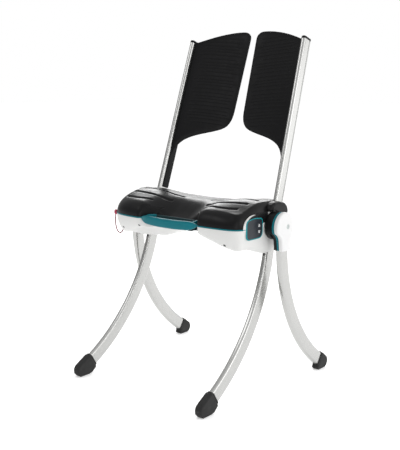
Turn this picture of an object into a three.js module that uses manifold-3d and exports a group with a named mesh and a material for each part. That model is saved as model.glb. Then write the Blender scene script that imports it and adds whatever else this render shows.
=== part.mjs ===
// Mobile lifting chair: a motorised seat on four plug-in legs with a two-part plug-in backrest.
// Millimetres, +Z up, +X the side with the keypad, front facing -Y, origin on the floor under
// the middle of the chair. The chair stands raised, as it does once it has lifted someone.
import * as THREE from 'three';
import { mergeVertices } from 'three/addons/utils/BufferGeometryUtils.js';
import Module from 'manifold-3d';

const wasm = await Module();
wasm.setup();

const deg = THREE.MathUtils.degToRad;
const GAP = 0.3;

// ---- driving dimensions --------------------------------------------------------------------
const HUB = { y: 26, z: 539.5, radius: 46 };
const SEAT = { halfWidth: 284, front: -156, rear: 108, powerLeft: 4, powerRight: 7.5, top: 601, wall: 4 };
const BAND = { z: 541, height: 4 };
const HOUSING = { lobeZ: 460, middleZ: 512, wall: 3 };
const EAR = { inner: 276, outer: 285, front: -127, shortFront: -40, rear: 78, top: 584, bottom: 500 };
const LEG = { thick: 20, deep: 46, corner: 7.5, wall: 2 };
const FRONT_LEG = { x: 255.5, y: 49.8, z: 440, lean: 14.5, radius: 643.5, end: 62.8, top: 516, splay: 1.7 };
const REAR_LEG = { x: 316.3, y: 39.2, z: 440, lean: 4.95, radius: 544.8, end: 58.6, top: 517 };
const TUBE = { wide: 17, deep: 42, corner: 8, wall: 2, x: 256, y: 84.2, z: 547, length: 606 };
const TUBE_RUN = new THREE.Vector3(-0.0285, 0.3296, 1).normalize();
const CAP = { inner: 287.5, step: 304, seal: 318.8, white: 321.5, outer: 337.5 };
const BUTTON = { wide: 22, high: 15, travel: 1.2, proud: 1.6 };
const CORD = { diameter: 3, sides: 8 };

// ---- materials -----------------------------------------------------------------------------
const paint = (color, roughness, metalness = 0) =>
  new THREE.MeshStandardMaterial({ color, roughness, metalness });
const MATERIAL = {
  black: paint(0x1f2021, 0.45),
  white: paint(0xdedfdc, 0.4),
  teal: paint(0x00788a, 0.38),
  darkTeal: paint(0x0b3d44, 0.5),
  rubber: paint(0x2b2b2b, 0.8),
  aluminium: paint(0xc9cac8, 0.35, 0.9),
  steel: paint(0x8c8f92, 0.3, 1),
  red: paint(0xa01d3c, 0.45),
  grey: paint(0x8d9492, 0.5),
  print: paint(0xf2f2f2, 0.5),
  battery: paint(0x2d3f55, 0.6),
  board: paint(0x1d5b35, 0.6),
};

// ---- solids --------------------------------------------------------------------------------
function toSolid(geometry) {
  const bare = geometry.index ? geometry.clone() : geometry;
  bare.deleteAttribute('normal');
  bare.deleteAttribute('uv');
  const merged = mergeVertices(bare, 1e-4);
  return new wasm.Manifold(new wasm.Mesh({
    numProp: 3,
    vertProperties: new Float32Array(merged.attributes.position.array),
    triVerts: new Uint32Array(merged.index.array),
  }));
}

function toGeometry(solid) {
  const { vertProperties, triVerts } = solid.getMesh();
  const geometry = new THREE.BufferGeometry();
  geometry.setAttribute('position', new THREE.BufferAttribute(new Float32Array(vertProperties), 3));
  geometry.setIndex(new THREE.BufferAttribute(new Uint32Array(triVerts), 1));
  return geometry;
}

function cut(body, ...tools) {
  return toGeometry(tools.reduce((left, tool) => left.subtract(toSolid(tool)), toSolid(body)));
}

// Drops the corners that move no face by more than tolerance.
function plainer(geometry, tolerance) {
  return toGeometry(toSolid(geometry).simplify(tolerance));
}

function join(body, ...others) {
  return toGeometry(others.reduce((sum, other) => sum.add(toSolid(other)), toSolid(body)));
}

function overlapOf(a, b) {
  return toGeometry(toSolid(a).intersect(toSolid(b)));
}

function mirrored(geometry) {
  const flipped = geometry.index ? geometry.toNonIndexed() : geometry.clone();
  const position = flipped.attributes.position;
  for (let corner = 0; corner < position.count; corner += 3) {
    const [a, b, c] = [0, 1, 2].map((k) => new THREE.Vector3().fromBufferAttribute(position, corner + k));
    [a, c, b].forEach((p, k) => position.setXYZ(corner + k, -p.x, p.y, p.z));
  }
  flipped.deleteAttribute('normal');
  flipped.deleteAttribute('uv');
  return mergeVertices(flipped, 1e-4);
}

function box(x0, x1, y0, y1, z0, z1) {
  return new THREE.BoxGeometry(x1 - x0, y1 - y0, z1 - z0)
    .translate((x0 + x1) / 2, (y0 + y1) / 2, (z0 + z1) / 2);
}

function rodX(x0, x1, y, z, radius, sides = 24) {
  return new THREE.CylinderGeometry(radius, radius, x1 - x0, sides)
    .rotateZ(Math.PI / 2).translate((x0 + x1) / 2, y, z);
}

// A flat outline drawn in (y, z), given thickness along X from x0 to x1, with rounded rims.
function plateX(shape, x0, x1, rim = 0, curveSegments = 4) {
  const options = {
    depth: x1 - x0 - 2 * rim, curveSegments, steps: 1,
    bevelEnabled: rim > 0, bevelThickness: rim, bevelSize: rim, bevelOffset: -rim, bevelSegments: 2,
  };
  const turn = new THREE.Matrix4().makeBasis(
    new THREE.Vector3(0, 1, 0), new THREE.Vector3(0, 0, 1), new THREE.Vector3(1, 0, 0));
  return new THREE.ExtrudeGeometry(shape, options).applyMatrix4(turn).translate(x0 + rim, 0, 0);
}

function roundedRect(wide, high, radius, cx = 0, cy = 0) {
  const [x, y] = [wide / 2, high / 2];
  const shape = new THREE.Shape();
  shape.absarc(cx + x - radius, cy - y + radius, radius, -Math.PI / 2, 0);
  shape.absarc(cx + x - radius, cy + y - radius, radius, 0, Math.PI / 2);
  shape.absarc(cx - x + radius, cy + y - radius, radius, Math.PI / 2, Math.PI);
  shape.absarc(cx - x + radius, cy - y + radius, radius, Math.PI, 1.5 * Math.PI);
  shape.closePath();
  return shape;
}

function bevelledRect(wide, high, bevel) {
  const [x, y] = [wide / 2, high / 2];
  return outline([[x - bevel, -y], [x, bevel - y], [x, y - bevel], [x - bevel, y],
    [bevel - x, y], [-x, y - bevel], [-x, bevel - y], [bevel - x, -y]]);
}

function outline(points) {
  return new THREE.Shape(points.map(([a, b]) => new THREE.Vector2(a, b)));
}

// ---- seat and lower housing: pillow shapes on one plan outline -------------------------------
const seatMiddle = (SEAT.front + SEAT.rear) / 2;
const seatHalfDepth = (SEAT.rear - SEAT.front) / 2;
// 0 where v is at a or before it, 1 at b or past it, and a soft step between; a may exceed b.
const smooth = (a, b, v) => {
  const t = THREE.MathUtils.clamp((v - a) / (b - a), 0, 1);
  return t * t * (3 - 2 * t);
};

function seatEdge(angle, inset) {
  const [c, s] = [Math.cos(angle), Math.sin(angle)];
  const bend = 2 / (c < 0 ? SEAT.powerLeft : SEAT.powerRight);
  return [
    Math.sign(c) * Math.abs(c) ** bend * (SEAT.halfWidth - inset),
    seatMiddle + Math.sign(s) * Math.abs(s) ** bend * (seatHalfDepth - inset),
  ];
}

// A ball reshaped to the plan outline: its top half follows topZ, its lower half bottomZ.
function pillow(inset, topZ, bottomZ, sectors = 56, rings = 14) {
  const ball = new THREE.SphereGeometry(1, sectors, rings).rotateX(Math.PI / 2);
  const position = ball.attributes.position;
  const rimBand = Math.PI / rings;
  for (let i = 0; i < position.count; i += 1) {
    const latitude = Math.asin(THREE.MathUtils.clamp(position.getZ(i), -1, 1));
    const around = Math.atan2(position.getY(i), position.getX(i));
    const inward = Math.max(0, (Math.abs(latitude) - rimBand) / (Math.PI / 2 - rimBand));
    const reach = 1 - inward ** 1.6;
    const [ex, ey] = seatEdge(around, inset);
    const x = ex * reach;
    const y = seatMiddle + (ey - seatMiddle) * reach;
    const height = Math.abs(latitude) < rimBand / 2 ? (topZ(x, y, 1) + bottomZ(x, y, 1)) / 2
      : latitude > 0 ? topZ(x, y, reach) : bottomZ(x, y, reach);
    position.setXYZ(i, x, y, height);
  }
  return ball;
}

const quarterRound = (reach, width) => {
  const t = Math.min(1, (1 - reach) / width);
  return Math.sqrt(Math.max(0, 1 - (1 - t) ** 2));
};

// Two thigh lobes with a dip between them, a scoop behind the handle, and rounded edges.
function seatSurface(x, y) {
  const side = 14 * smooth(90, 250, Math.abs(x)) * smooth(-130, 0, y);
  const lobe = 10 * Math.exp(-(((Math.abs(x) - 165) / 90) ** 2)) * smooth(90, 0, y);
  const fall = 16 * smooth(-20, SEAT.front, y);
  const scoop = 46 * smooth(104, 60, Math.abs(x)) * smooth(-34, -104, y);
  return SEAT.top - 2 + side + lobe - fall - scoop;
}

function seatTop(x, y, reach) {
  const edge = BAND.z + BAND.height + 2 * GAP;
  const base = Math.max(edge + 1.5, seatSurface(x, y));
  const roll = y < seatMiddle ? 0.3 - 0.15 * smooth(150, 270, Math.abs(x)) : 0.15;
  return edge + 1 + (base - edge - 1) * quarterRound(reach, roll);
}

// Two bowls that part towards the front, with a boss under each around the front leg's socket.
function housingBottom(x, y, reach) {
  const out = Math.abs(x);
  const ahead = smooth(0, -100, y);
  const lobe = smooth(20 + 55 * ahead, 140 + 110 * ahead, out);
  const depth = HOUSING.middleZ - (HOUSING.middleZ - HOUSING.lobeZ - 14 * ahead) * lobe;
  const roll = 0.35 - 0.15 * smooth(150, 275, out);
  const boss = 14 * Math.exp(-(((out - 250) / 40) ** 2) - ((y - 28) / 50) ** 2);
  return BAND.z - 1 - (BAND.z - 1 - depth) * quarterRound(reach, roll) - boss;
}

const shellFloor = BAND.z + BAND.height + GAP;
const shaftHole = (radius) => rodX(-400, 400, HUB.y, HUB.z, radius);
const HAND = { half: 117, rear: -102, floor: 519.5, corner: 30 };

// The opening behind the grip, between the two lobes; grow leaves a wall around it.
function handHole(grow = 0) {
  const past = 200;
  const plan = roundedRect(2 * (HAND.half + grow), past, HAND.corner, 0, HAND.rear + grow - past / 2);
  return new THREE.ExtrudeGeometry(plan, { depth: past, bevelEnabled: false, curveSegments: 5 })
    .translate(0, 0, HAND.floor - grow);
}

// ---- legs ----------------------------------------------------------------------------------
// The centre line of a leg in its own upright plane: straight in the socket, then one arc
// that sweeps towards the foot. toFront is -1 for a front leg and 1 for a rear leg.
class LegLine extends THREE.Curve {
  constructor(leg, toFront, topZ = leg.top, endAngle = leg.end) {
    super();
    this.leg = leg;
    this.side = toFront;
    this.lean = deg(leg.lean);
    this.straight = (topZ - leg.z) / Math.cos(this.lean);
    this.arc = (deg(endAngle) - this.lean) * leg.radius;
  }

  getPoint(t, target = new THREE.Vector3()) {
    const { leg, side, lean } = this;
    const run = t * (this.straight + this.arc) - this.straight;
    if (run <= 0) {
      return target.set(0, leg.y + side * run * Math.sin(lean), leg.z - run * Math.cos(lean));
    }
    const angle = lean + run / leg.radius;
    const centreY = leg.y + side * leg.radius * Math.cos(lean);
    const centreZ = leg.z + leg.radius * Math.sin(lean);
    return target.set(0, centreY - side * leg.radius * Math.cos(angle),
      centreZ - leg.radius * Math.sin(angle));
  }
}

function legSection(grow, hollow) {
  const section = roundedRect(LEG.thick + 2 * grow, LEG.deep + 2 * grow, LEG.corner + grow);
  if (hollow) {
    section.holes.push(bevelledRect(LEG.thick - 2 * LEG.wall, LEG.deep - 2 * LEG.wall, 2.4));
  }
  return section;
}

function legBar(line, grow = 0, hollow = true, steps = 14) {
  return new THREE.ExtrudeGeometry(legSection(grow, hollow),
    { steps, extrudePath: line, curveSegments: 2, bevelEnabled: false });
}

const frontLine = new LegLine(FRONT_LEG, -1);
const rearLine = new LegLine(REAR_LEG, 1);
const frontRoom = () => legBar(new LegLine(FRONT_LEG, -1, FRONT_LEG.top + GAP), GAP + 0.05, false);
const rearRoom = () => legBar(new LegLine(REAR_LEG, 1, REAR_LEG.top + GAP), GAP + 0.05, false);

// The leg group stands in the leg's plane; a front leg splays out towards the floor.
function frontLegFrame() {
  const frame = new THREE.Matrix4().makeTranslation(FRONT_LEG.x, 0, FRONT_LEG.z);
  frame.multiply(new THREE.Matrix4().makeRotationY(deg(-FRONT_LEG.splay)));
  return frame.multiply(new THREE.Matrix4().makeTranslation(0, 0, -FRONT_LEG.z));
}

const rearLegFrame = () => new THREE.Matrix4().makeTranslation(REAR_LEG.x, 0, 0);

function frontBoot() {
  const shape = outline([
    [-264.6, 66.8], [-304, 44.5], [-316, 36], [-321, 26], [-320, 13], [-313, 3], [-306, -1],
    [-291, -1], [-289.5, 2.5], [-286.5, 2.5], [-285, -1], [-270, -1], [-256, 3.5], [-236.5, 19.2]]);
  const underFloor = box(0, 500, -400, 0, -60, 0).applyMatrix4(frontLegFrame().invert());
  return cut(plateX(shape, -13.5, 13.5, 3), frontRoom(), underFloor);
}

function rearBoot() {
  const shape = outline([
    [289.2, 58], [262.5, 19.6], [238, 36], [233.5, 33], [240, 24], [256, 7.5], [266, 0], [282, 0],
    [283.5, 2.5], [286.5, 2.5], [288, 0], [304, 0], [314, 5], [320.5, 16], [321, 27], [317, 36]]);
  return cut(plateX(shape, -13.5, 13.5, 3), rearRoom());
}

// Spring latch buttons: down is the distance from the leg's top end, along the leg.
const LATCH = { radius: 4.6, flange: 6, proud: 1.8, frontDown: 84, rearDown: 74 };

// A latch button's own frame: its axis points out of the leg's front face, or of its inner side.
function latchFrame(line, down, onFront) {
  const t = down / (line.straight + line.arc);
  const run = line.getTangent(t);
  const out = onFront ? new THREE.Vector3(0, run.z, -run.y) : new THREE.Vector3(-1, 0, 0);
  const along = new THREE.Vector3().crossVectors(out, run);
  const face = (onFront ? LEG.deep : LEG.thick) / 2;
  return new THREE.Matrix4().makeBasis(run, along, out)
    .setPosition(line.getPoint(t).addScaledVector(out, face));
}

function latchButton(frame) {
  const { radius, flange, proud } = LATCH;
  const under = -LEG.wall - 2;
  const ledge = under + 1.4;
  const profile = [[0, under], [flange, under], [flange, ledge], [radius, ledge],
    [radius, proud - 0.8], [radius - 1, proud], [0, proud]]
    .map(([out, height]) => new THREE.Vector2(out, height));
  return new THREE.LatheGeometry(profile, 12).rotateX(Math.PI / 2).applyMatrix4(frame);
}

function latchHole(frame) {
  return new THREE.CylinderGeometry(LATCH.radius + GAP, LATCH.radius + GAP, 12, 16)
    .rotateX(Math.PI / 2).applyMatrix4(frame);
}

const frontLatchFrame = latchFrame(frontLine, LATCH.frontDown, true);
const rearLatchFrame = latchFrame(rearLine, LATCH.rearDown, false);

// ---- hub: the turning disc and its tail, which holds the rear leg -----------------------------
function hubOutline(inset) {
  const radius = HUB.radius - inset;
  const half = LEG.deep / 2 + 4 - inset;
  const lean = deg(REAR_LEG.lean);
  const along = (z) => REAR_LEG.y + (REAR_LEG.z - z) * Math.tan(lean);
  const bottom = 461 + inset;
  const neck = 497;
  const rearStart = deg(-28);
  const frontEnd = deg(205);
  const shape = new THREE.Shape();
  shape.moveTo(along(bottom) - half + 6, bottom);
  shape.lineTo(along(bottom) + half - 6, bottom);
  shape.quadraticCurveTo(along(bottom) + half, bottom, along(bottom) + half, bottom + 6);
  shape.lineTo(along(neck) + half, neck);
  shape.quadraticCurveTo(along(neck) + half, neck + 14,
    HUB.y + radius * Math.cos(rearStart), HUB.z + radius * Math.sin(rearStart));
  shape.absarc(HUB.y, HUB.z, radius, rearStart, frontEnd, false);
  shape.quadraticCurveTo(along(neck) - half - 2, neck + 14, along(neck) - half, neck - 4);
  shape.lineTo(along(bottom) - half, bottom + 6);
  shape.quadraticCurveTo(along(bottom) - half, bottom, along(bottom) - half + 6, bottom);
  return shape;
}

function hubRoom() {
  return rearRoom().applyMatrix4(rearLegFrame());
}

const SHAFT = { radius: 9, inner: 226, outer: 304 };
const DRIVE = { motorRadius: 20, motorLength: 74, gearboxInner: 196, gearboxOuter: 236 };
const BEARING = { inner: 266.5, outer: 280.5, radius: 13.5 };

function hubInner() {
  const body = join(rodX(CAP.inner, CAP.step + 1, HUB.y, HUB.z, HUB.radius - 1, 32),
    plateX(hubOutline(0.6), CAP.step, CAP.seal - GAP, 0, 7));
  return cut(body, hubRoom(), rodX(CAP.inner - 5, SHAFT.outer + GAP, HUB.y, HUB.z, SHAFT.radius + GAP));
}

function hubSeal() {
  return cut(plateX(hubOutline(1.8), CAP.seal, CAP.white - GAP, 0, 7), hubRoom());
}

// The screw cover sits a little behind the middle of the disc.
const PLUG = { y: HUB.y + 13, z: HUB.z - 1, radius: 7.5, deep: 3, proud: 0.4 };

function hubCap() {
  const plugRoom = rodX(CAP.outer - PLUG.deep, CAP.outer + 5, PLUG.y, PLUG.z, PLUG.radius + GAP, 20);
  return cut(plateX(hubOutline(0), CAP.white, CAP.outer, 3, 7), hubRoom(), plugRoom);
}

function hubPlug() {
  return rodX(CAP.outer - PLUG.deep + GAP, CAP.outer + PLUG.proud, PLUG.y, PLUG.z, PLUG.radius, 20);
}

// ---- backrest halves, in the frame of their leaning tube ---------------------------------------
function tubeFrame() {
  const across = new THREE.Vector3(1, 0, 0).addScaledVector(TUBE_RUN, -TUBE_RUN.x).normalize();
  const back = new THREE.Vector3().crossVectors(TUBE_RUN, across);
  return new THREE.Matrix4().makeBasis(across, back, TUBE_RUN).setPosition(TUBE.x, TUBE.y, TUBE.z);
}

function tubeSection(grow = 0) {
  return roundedRect(TUBE.wide + 2 * grow, TUBE.deep + 2 * grow, TUBE.corner + grow);
}

function backTube() {
  const section = tubeSection();
  section.holes.push(bevelledRect(TUBE.wide - 2 * TUBE.wall, TUBE.deep - 2 * TUBE.wall, 3));
  const bar = new THREE.ExtrudeGeometry(section,
    { depth: TUBE.length, bevelEnabled: false, curveSegments: 4 });
  const groove = box(TUBE.wide / 2 - 0.8, TUBE.wide, 10.2, 12.2, -1, TUBE.length + 1);
  return cut(bar, groove);
}

function tubeCap() {
  const lid = new THREE.ExtrudeGeometry(tubeSection(0.4),
    { depth: 6, bevelEnabled: true, bevelThickness: 2, bevelSize: 2, bevelOffset: -2, bevelSegments: 2,
      curveSegments: 2 }).translate(0, 0, TUBE.length + GAP + 2);
  const inset = new THREE.ExtrudeGeometry(roundedRect(12.4, 37.4, 5.7),
    { depth: 14, bevelEnabled: false, curveSegments: 2 }).translate(0, 0, TUBE.length - 10);
  return join(lid, inset);
}

const PANEL = { thick: 5, tubeOffset: 12, middleOffset: 51, side: 3, bottom: 66 };
// Depth of the panel's face behind the tube's front face, by distance from the chair's middle:
// the two panels together make a shallow hollow for the back.
const panelOffset = (out) => PANEL.middleOffset
  - (PANEL.middleOffset - PANEL.tubeOffset) * Math.min(1, Math.abs(out) / 245) ** 2.2;

// The panel is drawn in (distance from the tube, height up the tube), cut from a curved sheet,
// and joined to the cover strip that runs down the inner side of the tube.
function backPanel() {
  const edge = -TUBE.wide / 2 - 0.5;
  const shape = new THREE.Shape();
  shape.moveTo(edge, 180);
  shape.lineTo(edge, 607);
  shape.bezierCurveTo(-60, 626, -120, 652, -194, 656);
  shape.quadraticCurveTo(-222, 657, -223, 630);
  shape.lineTo(-222, 350);
  shape.bezierCurveTo(-222, 300, -190, 291, -146, 286);
  shape.bezierCurveTo(-90, 279, -42, 258, edge, 180);
  const slab = new THREE.ExtrudeGeometry(shape, { depth: 120, bevelEnabled: false, curveSegments: 8 })
    .applyMatrix4(new THREE.Matrix4().makeBasis(
      new THREE.Vector3(1, 0, 0), new THREE.Vector3(0, 0, 1), new THREE.Vector3(0, -1, 0)))
    .translate(0, 90, 0);
  const steps = 12;
  const face = Array.from({ length: steps + 1 }, (_, step) => {
    const x = -TUBE.x + ((TUBE.x + 2) * step) / steps;
    return [x, panelOffset(TUBE.x - 10 + x) - TUBE.deep / 2];
  });
  const rear = face.map(([x, depth]) => [x, depth + PANEL.thick]).reverse();
  const sheet = new THREE.ExtrudeGeometry(outline([...face, ...rear]),
    { depth: 760, bevelEnabled: false }).translate(0, 0, -40);
  const strip = box(edge - PANEL.side, edge, PANEL.tubeOffset - TUBE.deep / 2, TUBE.deep / 2 - 1,
    PANEL.bottom, 607);
  return join(overlapOf(slab, sheet), strip);
}

// ---- back sockets: the hoods over the hubs that the tubes plug into ---------------------------
function hoodOutline(scale = 1) {
  const [midY, midZ] = [54, 575];
  const points = [[4, 594], [12, 606], [26, 611.5], [60, 612], [84, 607], [98, 597], [104, 584],
    [104, 562], [100, 538], [70, 528], [66, 545]];
  return outline(points.map(([y, z]) => [midY + (y - midY) * scale, midZ + (z - midZ) * scale]));
}

const HOOD = { inner: 241, outer: 296 };

function backSocket() {
  const hood = plateX(hoodOutline(), HOOD.inner, HOOD.outer, 4);
  const room = new THREE.ExtrudeGeometry(tubeSection(GAP + 0.05),
    { depth: 200, bevelEnabled: false, curveSegments: 4 }).applyMatrix4(tubeFrame());
  const edge = -TUBE.wide / 2 - 0.5;
  const stripRoom = box(edge - PANEL.side - 12, edge + 4, PANEL.tubeOffset - TUBE.deep / 2 - 0.5,
    TUBE.deep / 2 - 0.5, PANEL.bottom - 0.5, 200).applyMatrix4(tubeFrame());
  return cut(hood, room, stripRoom, rodX(200, 300, HUB.y, HUB.z, HUB.radius + 2.4, 40));
}

// ---- front leg sockets --------------------------------------------------------------------------
function frontSocket() {
  const line = new LegLine(FRONT_LEG, -1, 524, 16.5);
  const collar = new THREE.ExtrudeGeometry(roundedRect(LEG.thick + 8, LEG.deep + 8, LEG.corner + 4),
    { steps: 3, extrudePath: line, curveSegments: 3, bevelEnabled: false });
  const clipped = overlapOf(collar, box(-40, 40, -60, 160, 466, 524));
  return cut(clipped, frontRoom()).applyMatrix4(frontLegFrame());
}

// ---- seat module parts ---------------------------------------------------------------------------
// The housing rises at each side as an ear that carries the hub. The right ear runs further
// forward, because it carries the keypad as well.
function earOutline(inset, front = EAR.front) {
  const shape = new THREE.Shape();
  shape.moveTo(front + 40, EAR.bottom + inset);
  shape.quadraticCurveTo(front + inset, EAR.bottom + inset, front + inset, 536);
  shape.quadraticCurveTo(front + inset, 573, front + 48, EAR.top - inset);
  shape.lineTo(HUB.y, EAR.top - inset);
  shape.quadraticCurveTo(EAR.rear - inset, EAR.top - inset, EAR.rear - inset, 540);
  shape.lineTo(EAR.rear - inset, EAR.bottom + inset);
  shape.closePath();
  return shape;
}

const bothSides = (make) => [make(), mirrored(make())];

function ears(inset, x0, x1, rim = 0) {
  return [plateX(earOutline(inset), x0, x1, rim),
    mirrored(plateX(earOutline(inset, EAR.shortFront), x0, x1, rim))];
}

function lowerHousing() {
  const rim = () => BAND.z - GAP;
  const outer = pillow(0, rim, housingBottom);
  const hollow = pillow(HOUSING.wall, () => BAND.z + 20,
    (x, y, reach) => housingBottom(x, y, reach) + HOUSING.wall, 40, 10);
  const tub = cut(outer, cut(hollow, handHole(HOUSING.wall)));
  const earRooms = ears(HOUSING.wall, EAR.inner - 30, EAR.outer - HOUSING.wall);
  const hoods = bothSides(() => plateX(hoodOutline(1.015), HOOD.inner - GAP, HOOD.outer + GAP));
  const sockets = bothSides(frontRoomInHousing);
  return cut(join(tub, ...ears(0, EAR.inner, EAR.outer, 2)), ...earRooms, ...hoods, ...sockets,
    handHole(), shaftHole(14), keypadRoom(), mouthForCord(), ...SCREW.places.map(screwHole));
}

function frontRoomInHousing() {
  const line = new LegLine(FRONT_LEG, -1, 524, 18);
  return new THREE.ExtrudeGeometry(roundedRect(LEG.thick + 9, LEG.deep + 9, LEG.corner + 4.5),
    { steps: 3, extrudePath: line, curveSegments: 3, bevelEnabled: false }).applyMatrix4(frontLegFrame());
}

function trimBand(side) {
  const low = () => BAND.z;
  const high = () => BAND.z + BAND.height;
  const ring = cut(pillow(0.4, high, low, 72, 8), pillow(5, () => BAND.z + 30, () => BAND.z - 30, 72, 8));
  const room = ears(-GAP - 0.2, EAR.inner - GAP, EAR.outer + 5);
  const middle = box(-118, 118, -170, 120, 530, 560);
  const half = box(side < 0 ? 0 : -300, side < 0 ? 300 : 0, -170, 120, 530, 560);
  return cut(ring, ...room, middle, half, box(-300, 300, 0, 120, 530, 560));
}

function seatShell() {
  const outer = pillow(0.4, seatTop, () => shellFloor);
  const hollow = pillow(SEAT.wall + 2, (x, y, reach) => seatTop(x, y, reach) - SEAT.wall - 2,
    () => shellFloor - 20);
  const earRoom = ears(-GAP - 0.2, EAR.inner - GAP, EAR.outer + 5);
  const hoods = bothSides(() => plateX(outline([[2, 540], [2, 640], [140, 640], [140, 520], [56, 520]]),
    240.6, 320));
  return cut(outer, cut(hollow, handHole(4)), ...earRoom, ...hoods, handHole(), shaftHole(14));
}

// Bowed grip bar between the lobes: a flared end and a foot down to the tray at each side.
function frontHandle() {
  const arch = new THREE.Shape();
  arch.moveTo(-114, -124);
  arch.quadraticCurveTo(-108, -154, -62, -158);
  arch.quadraticCurveTo(0, -166, 62, -158);
  arch.quadraticCurveTo(108, -154, 114, -124);
  arch.lineTo(96, -122);
  arch.quadraticCurveTo(88, -138, 56, -138);
  arch.quadraticCurveTo(0, -144, -56, -138);
  arch.quadraticCurveTo(-88, -138, -96, -122);
  arch.closePath();
  const bar = new THREE.ExtrudeGeometry(arch, { depth: 17, bevelEnabled: true, bevelThickness: 3.5,
    bevelSize: 3.5, bevelOffset: -3.5, bevelSegments: 2, curveSegments: 7 }).translate(0, 0, 529);
  const feet = bothSides(() => box(70, 82, -136, -130, HAND.floor + 2.6, 534));
  return join(bar, ...feet);
}

// Floor and rear wall of the hand opening.
function handleTray() {
  const base = HAND.floor + GAP;
  const rear = HAND.rear - GAP;
  const tray = cut(box(-88, 88, -118, rear, base, shellFloor - 0.5),
    box(-86, 86, -160, rear - 2, base + 2, 560));
  return join(tray, box(-88, 88, -136, -118, base, base + 2));
}

const KEYPAD = { x: EAR.outer, y: -67.5, z: 540.5, wide: 85, high: 66, corner: 18, ring: 2, proud: 1.4 };

function keypadOutline(grow) {
  const { y, z, wide, high, corner } = KEYPAD;
  return roundedRect(wide + 2 * grow, high + 2 * grow, corner + grow, y, z);
}

function keypadRoom() {
  return plateX(keypadOutline(GAP), KEYPAD.x - 2.2, KEYPAD.x + 10);
}

// Dark cover on the ear around the keypad's upper half, from the white rim to the hub.
function sideCover() {
  const shape = new THREE.Shape();
  shape.moveTo(-103, 552);
  shape.lineTo(-108, 552);
  shape.quadraticCurveTo(-108, 572, EAR.front + 54, EAR.top - 1.5);
  shape.lineTo(HUB.y - 30, EAR.top - 1.5);
  shape.absarc(HUB.y, HUB.z, HUB.radius + 6, deg(126), deg(166), false);
  shape.lineTo(-60, 552);
  shape.closePath();
  return cut(plateX(shape, EAR.outer + GAP, EAR.outer + 1.9),
    plateX(keypadOutline(GAP), EAR.outer - 1, EAR.outer + 5));
}

const BUTTONS = { up: [-46.5, 549], down: [-46.5, 529.5] };

function buttonShape([y, z], grow) {
  return roundedRect(BUTTON.wide + 2 * grow, BUTTON.high + 2 * grow, 5 + grow, y, z);
}

function keypadBezel() {
  const ring = keypadOutline(0);
  ring.holes.push(keypadOutline(-KEYPAD.ring));
  return plateX(ring, KEYPAD.x - 1.9, KEYPAD.x + KEYPAD.proud);
}

function keypadPanel() {
  const rooms = Object.values(BUTTONS)
    .map((at) => plateX(buttonShape(at, 0.4), KEYPAD.x - 0.6, KEYPAD.x + 6));
  return cut(plateX(keypadOutline(-KEYPAD.ring - GAP), KEYPAD.x - 1.9, KEYPAD.x + 1), ...rooms);
}

function pushButton(at) {
  return plateX(buttonShape(at, 0), KEYPAD.x - 0.3 + BUTTON.travel, KEYPAD.x + 1 + BUTTON.proud, 0.5, 3);
}

// ---- side plug and its hanging leash ------------------------------------------------------------
const SIDE_PLUG = { x: -271.5, y: -107, z: 542, turn: 33, mouth: [-67, 500] };

function mouthForCord() {
  return rodX(-300, -250, ...SIDE_PLUG.mouth, CORD.diameter / 2 + 2, 12);
}

function sidePlug() {
  const profile = [[0, 0], [5, 0], [7, 1.5], [7, 6.5], [5.5, 8], [0, 8]]
    .map(([radius, height]) => new THREE.Vector2(radius, height));
  return new THREE.LatheGeometry(profile, 18).rotateZ(Math.PI / 2).translate(-1.4, 0, 0)
    .rotateZ(deg(SIDE_PLUG.turn)).translate(SIDE_PLUG.x, SIDE_PLUG.y, SIDE_PLUG.z);
}

const CORD_ROUTE = [
  [-277, -110.6, 533], [-278.2, -110.4, 526], [-279.4, -110, 514], [-280.4, -108.6, 500],
  [-281.4, -104.6, 484], [-282.4, -98.6, 471], [-283.2, -91, 462.6], [-283.8, -83, 459.4],
  [-284, -76, 461.4], [-284, -71, 467.4], [-283.4, -68.4, 476], [-282, -67.4, 485],
  [-279.6, -67, 492.6], [-276, -67, 497.6], [-271, -67, 499.8], [-265, -67, 500]];

function plugLeash() {
  const line = new THREE.CatmullRomCurve3(CORD_ROUTE.map((p) => new THREE.Vector3(...p)));
  const section = new THREE.Shape();
  section.absarc(0, 0, CORD.diameter / 2, 0, 2 * Math.PI);
  return new THREE.ExtrudeGeometry(section,
    { steps: 34, extrudePath: line, curveSegments: CORD.sides / 2, bevelEnabled: false });
}

// ---- drive and electrics inside the seat ----------------------------------------------------------
function hubShaft() {
  return rodX(SHAFT.inner, SHAFT.outer, HUB.y, HUB.z, SHAFT.radius);
}

function bearing() {
  return cut(rodX(BEARING.inner, BEARING.outer, HUB.y, HUB.z, BEARING.radius),
    rodX(SHAFT.inner, SHAFT.outer, HUB.y, HUB.z, SHAFT.radius + GAP));
}

function gearbox() {
  const shape = roundedRect(58, 54, 10, HUB.y - 4, HUB.z - 4);
  return cut(plateX(shape, DRIVE.gearboxInner, DRIVE.gearboxOuter, 2, 2),
    rodX(SHAFT.inner - GAP, SHAFT.outer, HUB.y, HUB.z, SHAFT.radius + GAP));
}

function gearMotor() {
  const outer = DRIVE.gearboxInner - GAP;
  return rodX(outer - DRIVE.motorLength, outer, HUB.y - 6, HUB.z - 8, DRIVE.motorRadius);
}

function frameBeam() {
  return box(-230, 230, 52.5, 68, 519, 535);
}

function batteryPack() {
  const pack = roundedRect(180, 56, 6, 0, -46);
  return new THREE.ExtrudeGeometry(pack, { depth: 30, bevelEnabled: true, bevelThickness: 2, bevelSize: 2,
    bevelOffset: -2, bevelSegments: 1, curveSegments: 2 }).translate(0, 0, 518);
}

function controlBoard() {
  return box(-70, 70, 2, 50, 530, 532);
}

// ---- housing screws ---------------------------------------------------------------------------------
const SCREW = {
  radius: 4.1, recess: 1.2, length: 6, places: [[222, -112], [-222, -112], [-134, -112], [-62, -110]],
};

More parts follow.
